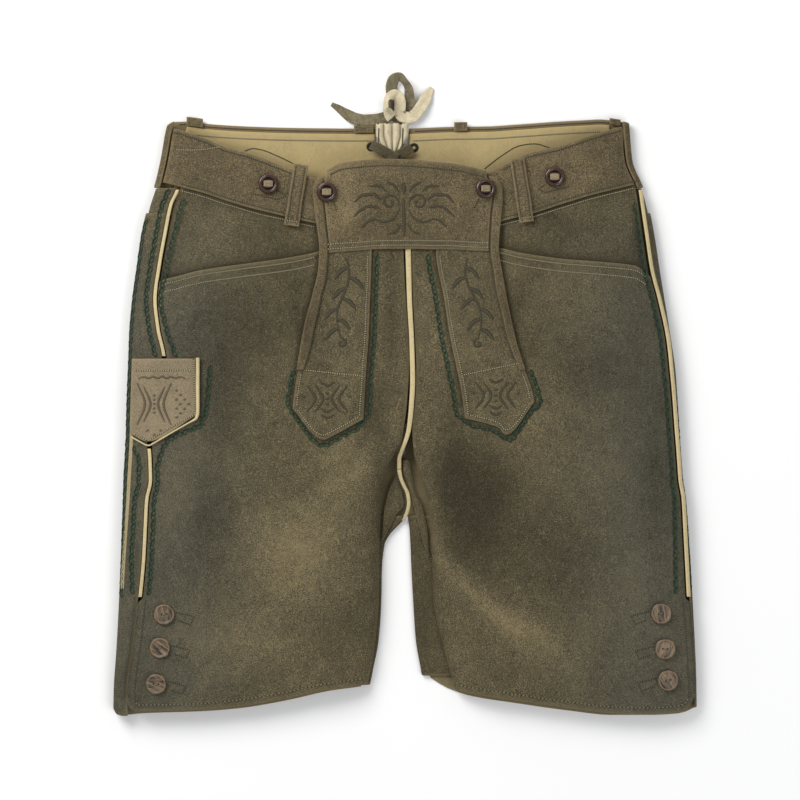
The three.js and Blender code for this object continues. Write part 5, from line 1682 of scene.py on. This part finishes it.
def make_stitches():
    s = sizes()
    light, dark, coarse = [], [], []
    flat_on = front_surface
    facing = flat_on(-FACING_DROP)
    flap = flat_on(LIFT["flap"] + s.suede)
    strip = flat_on(LIFT["strip"] + s.suede)
    pocket = flat_on(LIFT["pocket"] + s.suede)
    leather_face = flat_on(0.0)
    fine = lambda route, surface, radius=0.5: light.append(stitch_row(route, surface, s.fine_stitch, radius))
    deep = lambda route, surface, radius=0.45: dark.append(stitch_row(route, surface, s.fine_stitch, radius))
    for half in HALVES.values():
        side, name = half.side, half.name
        for drop in (4.4, 11.6):
            end = half.piping(135.0) - side * 6.0
            fine(line_x(side * 84.0, end, lambda x, d=drop: POCKET_MOUTH.y(x) - d), leather_face)
        outer = half.outline(240.0) - side * (BAND_INSET["front"] + 2.5)
        deep(line_x(side * 90.0, outer, lambda x: WAIST.band_top(x) - 3.6), leather_face)
        deep(line_x(side * 84.0, half.piping(217) - side * 2, lambda x: WAIST.band_seam(x) + 2.8), leather_face)
        fine(line_x(side * 84.0, half.piping(205) - side * 6, lambda x: WAIST.band_seam(x) - 3.4), facing)
        flat_lining = lambda x, y, h=half: lining_surface(h, x, y)
        notch = LACE_GAP[name] + side * 3
        fine(line_x(half.outline(262.0) - side * 24, notch, lambda x: WAIST.back_top(x) - 11.5), flat_lining)
        deep(line_x(half.outline(262.0) - side * 14, notch + side * 2, lambda x: WAIST.back_top(x) - 2.6), table_surface(2.05))
        out, inn = vars(STRIPS)[name + "_out"], vars(STRIPS)[name + "_in"]
        fine(line_y(150.0, vars(STRIP_TIP)[name](1.0 if side < 0 else 0.0) + 3.0, lambda y, f=inn, q=side: f(y) + q * 3.4), strip)
        fine(line_y(40.0, vars(STRIP_TIP)[name](0.0 if side < 0 else 1.0) + 3.0, lambda y, f=out, q=side: f(y) - q * 3.4), strip)
        share = np.linspace(0.07, 0.93, 60)
        x, y = strip_grid(half, share, share * 0 + 0.0)
        fine(np.stack([x, y + 4.2], axis=-1), strip)
        x, y = strip_grid(half, share, share * 0)
        tilt = mix(44.0, 37.5, share) if side < 0 else mix(38.0, 50.5, share)
        edge = vars(STRIPS)
        a, b = outside_first(half, edge[name + "_out"], edge[name + "_in"])
        fine(np.stack([mix(a(tilt), b(tilt), share), tilt], axis=-1), strip)
        deep(line_y(218.0, 52.0, lambda y, f=vars(BINDINGS)[name + "_in"], q=side: f(y) - q * 0.3), flat_on(LIFT["flap"] + 1.2), 0.5)
        place = loop_place(name)
        for across in (-4.2, 4.2):
            v = np.linspace(0.03, 0.97, 40)
            deep(np.stack(place(np.full(40, across), v), axis=-1), loop_surface(name))
        ends = np.stack(place(np.linspace(-5, 5, 20), np.full(20, 0.07)), axis=-1)
        fine(ends, loop_surface(name))
        vent = front_seam(half)
        inside = lambda y, f=vent, q=side: f(y) - q * 7.6
        hem = rounded_hem(half, 14.0)
        bottom = hem(inside(-262.0), 0) + 6.0
        down = line_y(-176.0, bottom, inside)
        top = np.array([[vent(-168.0) - side * 3.0, -170.0]])
        deep(np.concatenate([top, down]), leather_face, 0.42)
        start = inside(-262.0) - side * 0.5
        stop = half.fold(-262.0) + side * 3.0
        low = HEM.front(np.array([start]))[0] + 5.8
        hem_line = line_x(start - side * 1.5, stop, lambda x: HEM.front(x) + 5.8)
        coarse.append(stitch_row(np.concatenate([[[start, low + 3.0]], hem_line]), leather_face, s.hem_stitch, 0.46))
        for node in (f"horn_button_{name}_{k}" for k in (1, 2, 3)):
            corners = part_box(node)
            cx, cy = (corners[0][0] + corners[1][0]) / 2 / MM, (corners[0][1] + corners[1][1]) / 2 / MM
            hole = np.array([(11.2, 1.8), (27.5, -2.2), (24.0, -9.6), (12.0, -5.6)])
            deep(hole * [-side, 1.0] + [cx, cy], leather_face, 0.38)
    flap_right, flap_left = BINDINGS.right_in(200.0) + 4.0, BINDINGS.left_in(200.0) - 4.0
    deep(line_x(flap_right + 4, flap_left - 4, lambda x: FLAP_EDGE.top(x) - 6.2), flap)
    for rise in (3.2, 7.6):
        fine(line_x(flap_right + 1, flap_left - 1, lambda x, r=rise: FLAP_EDGE.low(x) + r), flap)
    deep([(-66.0, 200.5), (-63.5, 190.0)], flap, 0.5)
    deep([(68.5, 202.0), (63.5, 192.5)], flap, 0.5)
    deep([(-141.0, 207.5), (-118.0, 202.0), (-110.5, 205.5), (-116.0, 209.5), (-140.0, 213.0)], leather_face)
    deep([(152.0, 214.0), (130.0, 208.5), (124.0, 212.0), (130.0, 216.0)], leather_face)
    fine([(-213.0, 248.3), (-200.0, 248.0), (-186.0, 248.6), (-172.0, 251.0)], leather_face)
    fine(line_x(-248.0, -199.0, lambda x: 43.0 + 0 * x), pocket)
    fine(line_y(53.0, 3.0, lambda y: KNIFE_POCKET.inn(y) - 1.6), pocket)
    fine([(-196.0, 1.6), (-236.5, -21.4)], pocket)
    fine([(-239.0, -21.6), (-250.5, -15.4)], pocket)
    deep(line_y(-52.0, -95.0, lambda y: CROTCH_SEAM.x(y) - 2.6), fork_surface, 0.5)
    for half, route in ((HALVES["right"], [(-148.8, 248.3), (-142.0, 250.4), (-134.0, 249.2), (-118.0, 243.0), (-104.2, 236.2)]),
                        (HALVES["left"], [(74.4, 231.6), (90.0, 243.5), (107.0, 253.0), (120.9, 254.8), (142.3, 248.3)])):
        deep(rounded_route(route, 2.0), lambda x, y, h=half: lining_surface(h, x, y))
    for x0 in (-24.4, -2.0):
        deep([(x0, 268.5), (x0 - 0.6, 252.0)], table_surface(9.3), 0.55)
    finish_piece("seam_stitches", joined(light), thread("sewing_thread", colours().thread, 0.16), [])
    finish_piece("dark_stitches", joined(dark), thread("dark_sewing_thread", tint(colours().thread, 0.3), 0.12), [])
    finish_piece("hem_stitches", joined(coarse), thread("hem_thread", tint(colours().thread, 0.55), 0.10), [])
    # dark tubes at the needle holes: painted shade
    finish_piece("needle_holes", joined(HOLES), thread("hole", (0.022, 0.018, 0.011), 0.5), [])


def table_surface(height):
    """A level surface."""

    def place(x, y):
        point = np.stack([x, y, 0 * x + height], axis=-1)
        return point, np.broadcast_to([0.0, 0.0, 1.0], point.shape)

    return place


def lining_surface(half, x, y):
    point = np.stack([x, y, lining_face(half, x, y)], axis=-1)
    return point, np.broadcast_to([0.0, 0.0, 1.0], point.shape)


def fork_surface(x, y):
    point = np.stack([x, y, CROTCH_SEAM.z(y) + 0.2], axis=-1)
    return point, np.broadcast_to([0.0, 0.0, 1.0], point.shape)


def loop_surface(name):
    """The outer face of a front belt loop."""
    top, low = (np.array(end) for end in FRONT_LOOPS[name])

    def place(x, y):
        v = (y - low[1]) / (top[1] - low[1])
        return on_front(x, y, loop_lift(v) + sizes().suede)

    return place


def beside(edge, high, low, first, last):
    """Route down an edge x(y) from high to low, its distance from the edge running evenly from first to last."""
    y = np.linspace(high, low, 24)
    return np.stack([edge(y) + np.linspace(first, last, len(y)), y], axis=-1)


def pocket_foot(gap):
    """The upper seven tenths of the knife pocket's slanted foot, moved out from the pocket by gap."""
    start = np.array([float(KNIFE_POCKET.inn(0.0)), float(KNIFE_POCKET_TIP.y(1.0))])
    corner = 0.26
    x = mix(float(KNIFE_POCKET.out(-24.0)), float(KNIFE_POCKET.inn(-24.0)), corner)
    run = np.array([x, float(KNIFE_POCKET_TIP.y(corner))]) - start
    out = np.array([-run[1], run[0]]) / np.linalg.norm(run)
    return start + gap * out + np.array([[0.0], [0.7]]) * run


def strip_chain(half, gap):
    """Route down a strip's inner edge, gap away from it, then round its tip and a little way up its outer edge."""
    inn, out = (vars(STRIPS)[f"{half.name}_{edge}"] for edge in ("in", "out"))
    share = np.linspace(0.1, 0.9, 9)
    x, y = strip_grid(half, share, 0 * share)
    tip = np.stack([x, y - 5.0], axis=-1)[:: int(half.side)]
    down = beside(inn, 151.0, 5.0, -half.side * gap, -half.side * gap)
    up = beside(out, 12.0, 42.0, half.side * 5.0, half.side * 5.0)
    return np.concatenate([down, tip, up])


def chain_routes():
    """Routes of the chain embroidery on the front, each beside the piping, pocket or strip that it follows."""
    right, left = HALVES["right"].piping, HALVES["left"].piping
    pocket_heel = np.array([[float(KNIFE_POCKET.out(-24.0)) + 2.0, -27.0]])
    return [
        np.concatenate([beside(right, 202.0, 114.0, 10.5, 5.0), beside(right, 106.0, 57.5, 5.0, 10.5)]),
        beside(right, 212.0, 57.5, -8.5, -8.5),
        np.concatenate([beside(KNIFE_POCKET.inn, 48.0, 6.0, 14.0, 9.0), pocket_foot(9.0),
                        beside(right, -46.0, -164.0, 6.5, 7.5)]),
        np.concatenate([pocket_heel, beside(right, -38.0, -125.0, -11.0, -12.0), beside(right, -132.0, -163.0, -12.0, -8.0)]),
        np.concatenate([beside(left, 199.0, -50.0, -7.0, -7.0), beside(left, -60.0, -162.5, -7.5, -11.5)]),
        strip_chain(HALVES["right"], 5.0),
        strip_chain(HALVES["left"], 8.0),
    ]


def make_chains():
    pitch = sizes().chain_link
    shapes = []
    for number, route in enumerate(chain_routes()):
        shapes.append(chain_row(rounded_route(route, 1.0), front_surface(0.15), pitch, seed=number))
    for name, low, high in (("right", -166.0, 184.0), ("left", -158.0, 22.0)):
        half = HALVES[name]
        y = np.linspace(high, low, 400)
        route = np.stack([np.full_like(y, 2.4), y], axis=-1)
        surface = lambda inset, y, h=half: on_back(h, y, np.maximum(inset, 0.4), 0.15)
        shapes.append(chain_row(route, surface, pitch, 0.9, seed=20 + int(half.side)))
    finish_piece("chain_embroidery", joined(shapes), thread("chain_thread", colours().chain, 0.22, 0.0013, 0.5), [])


# ---- ornaments ------------------------------------------------------------------------------------
def satin_row(route, surface, width, pitch=0.85, radius=0.5, slant=0.5, start=0.05):
    """Satin stitches across a route: at share s each reaches width sin(pi s)^0.7 to both sides, slanted along the route."""
    route = rounded_route(route, pitch) if len(route) > 2 else resample(np.asarray(route, float), pitch)
    tangent = directions(route[None])[0]
    across = np.stack([-tangent[:, 1], tangent[:, 0]], axis=-1)
    s = np.linspace(start, 1 - start, len(route))
    reach = width * np.maximum(np.sin(np.pi * s), 0.12) ** 0.7
    way = across + slant * tangent
    way /= np.linalg.norm(way, axis=-1, keepdims=True)
    w = np.array([-1.0, -0.45, 0.45, 1.0])
    flat = route[:, None] + way[:, None] * (reach[:, None] * w)[..., None]
    point, normal = surface(flat[..., 0], flat[..., 1])
    lift = radius * (0.8 - 1.3 * w**4)
    # tone: painted shade at both ends where each stitch sinks, and a tone that varies from stitch to stitch
    tone = 0.75 - 0.55 * w**4 + 0.25 * np.sin(np.arange(len(route)) * 2.4)[:, None]
    return tubes(point + normal * lift[None, :, None], normal, radius, tone=np.clip(tone, 0, 1))


def spiral(cx, cy, radius, turns, start, hand):
    """Route round (cx, cy) whose radius shrinks evenly over its turns from a start angle in degrees."""
    t = np.linspace(0.0, 1.0, 30)
    angle = np.radians(start) + hand * 2 * np.pi * turns * t
    r = radius * (1.0 - 0.84 * t)
    return list(zip(cx + r * np.cos(angle), cy + r * np.sin(angle)))


def mirrored(route, middle):
    """A route reflected about the line x = middle."""
    return [(2 * middle - x, y) for x, y in route]


def vine(half, strip):
    """Satin rows of a vine: its stem is a sine about the strip's middle and ends in a curl, and its leaves leave it
    by turns to either side at even steps."""
    out, inn = (vars(STRIPS)[f"{half.name}_{edge}"] for edge in ("out", "in"))

    def stem(y):
        return (out(y) + inn(y)) / 2 - half.side * 4.5 * np.sin((148.0 - y) / 11.0)

    y = np.linspace(148.0, 74.0, 30)
    rows = [satin_row(np.stack([stem(y), y], axis=-1), strip, 0.9)]
    for number, y in enumerate(np.linspace(139.0, 82.0, 7)):
        x, hand = float(stem(y)), half.side * (-1) ** number
        rows.append(satin_row([(x, y), (x + hand * 7.0, y - 3.5), (x + hand * 12.5, y - 10.5)], strip, 2.1))
    rows.append(satin_row(spiral(float(stem(70.0)), 68.5, 4.6, 1.1, 90, half.side), strip, 1.1))
    return rows


def make_ornaments():
    s = sizes()
    flap = front_surface(LIFT["flap"] + s.suede)
    strip = front_surface(LIFT["strip"] + s.suede)
    pocket = front_surface(LIFT["pocket"] + s.suede)
    rows = []
    scrolls = [
        (spiral(12.5, 199.0, 8.6, 1.25, 200, -1), 1.3),
        ([(3.5, 193.0), (9.0, 184.0), (18.0, 181.0), (27.0, 184.0)], 1.4),
        ([(20.5, 201.0), (28.0, 206.5), (37.0, 206.0), (45.0, 199.5)], 1.9),
        ([(22.5, 194.0), (31.0, 195.5), (39.0, 192.0), (45.5, 186.0)], 1.7),
        ([(16.0, 209.5), (23.0, 214.5), (31.0, 214.0)], 1.5),
        ([(26.0, 184.0), (33.0, 181.0), (38.0, 176.0)], 1.4),
        ([(4.0, 209.0), (8.5, 215.0), (15.0, 218.0)], 1.4),
        ([(2.4, 178.0), (7.0, 172.0), (14.0, 169.5)], 1.3),
    ]
    for route, width in scrolls:
        rows.append(satin_row(route, flap, 0.72 * width))
        rows.append(satin_row(mirrored(route, -0.9), flap, 0.72 * width))
    rows.append(satin_row([(-0.9, 203.0), (-1.4, 190.0), (-0.9, 168.0)], flap, 1.5))
    rows.append(satin_row([(-0.9, 208.0), (-0.9, 217.0)], flap, 2.3))
    for half in HALVES.values():
        rows += vine(half, strip)
    for cx, cy, spread in ((-72.0, 17.0, 1.0), (84.0, 20.0, 1.0)):
        for side in (-1, 1):
            for gap, bend in ((4.0, 7.0), (11.0, 7.5)):
                arc = [(cx + side * (gap + bend), cy + 12.0), (cx + side * gap, cy), (cx + side * (gap + bend), cy - 12.0)]
                rows.append(satin_row(arc, strip, 1.2 * spread))
        for rise in (-18.0, -12.0, 12.0):
            rows.append(satin_row([(cx - 6.0, cy + rise + 3.0), (cx, cy + rise), (cx + 6.0, cy + rise + 3.0)], strip, 1.0))
        for dx, dy in ((0, 5), (0, 0), (0, -5), (-21, 2), (21, 2)):
            rows.append(satin_row([(cx + dx - 1.1, cy + dy), (cx + dx + 1.1, cy + dy)], strip, 1.1, 0.7))
    on_pocket = []
    for middle, bow, reach in ((-244.0, 3.4, 19.0), (-238.5, 3.0, 16.0), (-225.5, -3.0, 16.0), (-220.0, -3.4, 19.0)):
        arc = [(middle - bow, 12.0 + reach), (middle + bow, 12.0), (middle - bow, 12.0 - reach)]
        on_pocket.append(satin_row(arc, pocket, 1.05))
    zigzag = [(-246.0 + 4.2 * k, 35.5 + 2.2 * (k % 2)) for k in range(11)]
    on_pocket.append(satin_row(resample(zigzag, 3.0), pocket, 0.8))
    dots = [(-232.0, 4.0 * k) for k in range(1, 6)] + [(-208.0 + 3.6 * i, 12.0 + 4.2 * j) for i, j in
                                                       ((0, 0), (1, 1), (1, -1), (0, 2), (0, -2), (-1, 1), (-1, -1), (2, 0), (-1, 3), (-1, -3))]
    dots += [(-238.0, -12.5), (-232.0, -16.5), (-226.0, -12.5)]
    on_pocket += [satin_row([(x - 0.8, y), (x + 0.8, y)], pocket, 0.95, 0.6) for x, y in dots]
    pocket_thread = thread("pocket_ornament_thread", tint(colours().pocket, 0.62), 0.4)
    finish_piece("pocket_embroidery", joined(on_pocket), pocket_thread, [])
    finish_piece("ornament_embroidery", joined(rows), thread("ornament_thread", colours().ornament, 0.3), [])
    angle = np.linspace(0, 2 * np.pi, 27)[:-1]
    rays = []
    for half, cx, cy in ((HALVES["right"], -31.6, 252.0), (HALVES["left"], 8.4, 251.1)):
        reach = np.array([1.5, 2.4, 3.6, 4.5])
        x = cx + np.cos(angle)[:, None] * reach
        y = cy + np.sin(angle)[:, None] * reach
        point, normal = lining_surface(half, x, y)
        rays.append(tubes(point + normal * np.array([-0.3, 0.4, 0.4, -0.3])[:, None], normal, 0.42))
    finish_piece("eyelet_stitches", joined(rays), thread("eyelet_thread", (0.016, 0.014, 0.011), 0.3), [])


# ---- stage ----------------------------------------------------------------------------------------
def area_light(name, place, size, power, colour=(1.0, 1.0, 1.0)):
    """A square area light in metres and watts that looks at the origin."""
    data = bpy.data.lights.new(name, "AREA")
    data.energy = power
    data.size = size
    data.color = colour
    light = bpy.data.objects.new(name, data)
    light.location = place
    light.rotation_euler = (-Vector(place)).to_track_quat("-Z", "Y").to_euler()
    bpy.context.scene.collection.objects.link(light)


def make_stage():
    scene = bpy.context.scene
    mesh = bpy.data.meshes.new("floor")
    reach = 6.0
    line = np.linspace(-reach, reach, 9)
    x, y = plane(line, line)
    index = np.arange(81).reshape(9, 9)
    quads = np.stack([index[:-1, :-1], index[1:, :-1], index[1:, 1:], index[:-1, 1:]], axis=-1).reshape(-1, 4)
    mesh.from_pydata(np.stack([x, y, 0 * x - 0.0004], axis=-1).reshape(-1, 3).tolist(), [], quads.tolist())
    material, net, shader = new_material("floor_paper", Roughness=0.9, Specular_IOR_Level=0.1)
    cloud = net.noise(net.place(), 3.0, 3.0)
    net.tree.links.new(net.mix(cloud, (0.93, 0.93, 0.93, 1), (0.95, 0.95, 0.95, 1)), shader.inputs["Base Color"])
    mesh.materials.append(material)
    floor = bpy.data.objects.new("floor", mesh)
    scene.collection.objects.link(floor)
    area_light("key_light", (-1.2, 1.3, 1.6), 1.3, 44.0, (1.0, 0.99, 0.97))
    area_light("fill_light", (1.3, -1.2, 2.0), 1.6, 21.0)
    world = bpy.data.worlds.new("studio")
    world.use_nodes = True
    ground = world.node_tree.nodes["Background"]
    ground.inputs["Color"].default_value = (0.97, 0.985, 1.0, 1.0)
    ground.inputs["Strength"].default_value = 0.46
    scene.world = world
    data = bpy.data.cameras.new("camera")
    data.sensor_width = 36.0
    data.lens = 192.8
    data.clip_end = 50.0
    camera = bpy.data.objects.new("camera", data)
    camera.location = (-0.00465, 0.01581, 4.0)
    scene.collection.objects.link(camera)
    scene.camera = camera
    scene.view_settings.view_transform = "Standard"


# ---- operators, panel and main --------------------------------------------------------------------
class LEDER_OT_stage(bpy.types.Operator):
    """Add the floor, the lights and the camera"""

    bl_idname = "leder.stage"
    bl_label = "Stage"

    def execute(self, context):
        make_stage()
        return {"FINISHED"}


class LEDER_OT_laces(bpy.types.Operator):
    """Add the two free ends of the waist lace"""

    bl_idname = "leder.laces"
    bl_label = "Laces"

    def execute(self, context):
        make_laces()
        return {"FINISHED"}


class LEDER_OT_fronts(bpy.types.Operator):
    """Add the two fronts"""

    bl_idname = "leder.fronts"
    bl_label = "Fronts"

    def execute(self, context):
        make_fronts()
        return {"FINISHED"}


class LEDER_OT_facings(bpy.types.Operator):
    """Add the facings behind the slanted pocket mouths"""

    bl_idname = "leder.facings"
    bl_label = "Pocket facings"

    def execute(self, context):
        make_facings()
        return {"FINISHED"}


class LEDER_OT_backs(bpy.types.Operator):
    """Add the seats, the yokes and the back of the waistband"""

    bl_idname = "leder.backs"
    bl_label = "Backs"

    def execute(self, context):
        make_backs()
        return {"FINISHED"}


class LEDER_OT_waist(bpy.types.Operator):
    """Add the front of the waistband and the lining behind it"""

    bl_idname = "leder.waist"
    bl_label = "Waistband and lining"

    def execute(self, context):
        make_waist()
        return {"FINISHED"}


class LEDER_OT_flap(bpy.types.Operator):
    """Add the drop front's flap and the bindings at its sides"""

    bl_idname = "leder.flap"
    bl_label = "Flap"

    def execute(self, context):
        make_flap()
        return {"FINISHED"}


class LEDER_OT_strips(bpy.types.Operator):
    """Add the two ornamental strips below the flap"""

    bl_idname = "leder.strips"
    bl_label = "Ornamental strips"

    def execute(self, context):
        make_strips()
        return {"FINISHED"}


class LEDER_OT_pipings(bpy.types.Operator):
    """Add the pipings of the side, front and crotch seams"""

    bl_idname = "leder.pipings"
    bl_label = "Pipings"

    def execute(self, context):
        make_pipings()
        return {"FINISHED"}


class LEDER_OT_crotch(bpy.types.Operator):
    """Add the forks at the crotch and the turned inner edges of the back"""

    bl_idname = "leder.crotch"
    bl_label = "Crotch and inner edges"

    def execute(self, context):
        make_crotch()
        return {"FINISHED"}


class LEDER_OT_knife_pocket(bpy.types.Operator):
    """Add the knife pocket and its piping"""

    bl_idname = "leder.knife_pocket"
    bl_label = "Knife pocket"

    def execute(self, context):
        make_knife_pocket()
        return {"FINISHED"}


class LEDER_OT_loops(bpy.types.Operator):
    """Add the belt loops"""

    bl_idname = "leder.loops"
    bl_label = "Belt loops"

    def execute(self, context):
        make_loops()
        return {"FINISHED"}


class LEDER_OT_gusset(bpy.types.Operator):
    """Add the pleated gusset of the back and the crossed lace over it"""

    bl_idname = "leder.gusset"
    bl_label = "Gusset"

    def execute(self, context):
        make_gusset()
        return {"FINISHED"}


class LEDER_OT_horn_buttons(bpy.types.Operator):
    """Add the horn buttons of the vents"""

    bl_idname = "leder.horn_buttons"
    bl_label = "Horn buttons"

    def execute(self, context):
        make_horn_buttons()
        return {"FINISHED"}


class LEDER_OT_ring_buttons(bpy.types.Operator):
    """Add the ring buttons of the flap and the waistband"""

    bl_idname = "leder.ring_buttons"
    bl_label = "Ring buttons"

    def execute(self, context):
        make_ring_buttons()
        return {"FINISHED"}


class LEDER_OT_stitches(bpy.types.Operator):
    """Add the rows of stitches along seams, edges, hems and buttonholes"""

    bl_idname = "leder.stitches"
    bl_label = "Stitches"

    def execute(self, context):
        make_stitches()
        return {"FINISHED"}


class LEDER_OT_chains(bpy.types.Operator):
    """Add the green chain stitches beside the seams"""

    bl_idname = "leder.chains"
    bl_label = "Chain stitches"

    def execute(self, context):
        make_chains()
        return {"FINISHED"}


class LEDER_OT_ornaments(bpy.types.Operator):
    """Add the embroidered scrolls of the flap, the strips and the knife pocket"""

    bl_idname = "leder.ornaments"
    bl_label = "Ornaments"

    def execute(self, context):
        make_ornaments()
        return {"FINISHED"}


OPERATORS = (
    LEDER_OT_stage, LEDER_OT_laces, LEDER_OT_fronts, LEDER_OT_facings, LEDER_OT_backs, LEDER_OT_waist, LEDER_OT_flap,
    LEDER_OT_strips, LEDER_OT_pipings, LEDER_OT_crotch, LEDER_OT_knife_pocket, LEDER_OT_loops, LEDER_OT_gusset,
    LEDER_OT_horn_buttons, LEDER_OT_ring_buttons, LEDER_OT_stitches, LEDER_OT_chains, LEDER_OT_ornaments,
)


class LEDER_PT_garment(bpy.types.Panel):
    """Sizes and colours of the garment, and the operators that build it"""

    bl_idname = "LEDER_PT_garment"
    bl_label = "Lederhosen"
    bl_space_type = "VIEW_3D"
    bl_region_type = "UI"
    bl_category = "Lederhosen"

    def draw(self, context):
        for title, group in (("Sizes", context.scene.leder_sizes), ("Colours", context.scene.leder_colours)):
            box = self.layout.box()
            box.label(text=title)
            for key in group.__annotations__:
                box.prop(group, key)
        for operator in OPERATORS:
            self.layout.operator(operator.bl_idname)


CLASSES = (LederSizes, LederColours) + OPERATORS + (LEDER_PT_garment,)


def register():
    for item in CLASSES:
        bpy.utils.register_class(item)
    bpy.types.Scene.leder_sizes = bpy.props.PointerProperty(type=LederSizes)
    bpy.types.Scene.leder_colours = bpy.props.PointerProperty(type=LederColours)


def unregister():
    del bpy.types.Scene.leder_colours
    del bpy.types.Scene.leder_sizes
    for item in reversed(CLASSES):
        bpy.utils.unregister_class(item)


def main():
    register()
    for operator in OPERATORS:
        getattr(bpy.ops.leder, operator.bl_idname.split(".")[1])()
    bpy.context.view_layer.update()


if __name__ == "__main__":
    main()
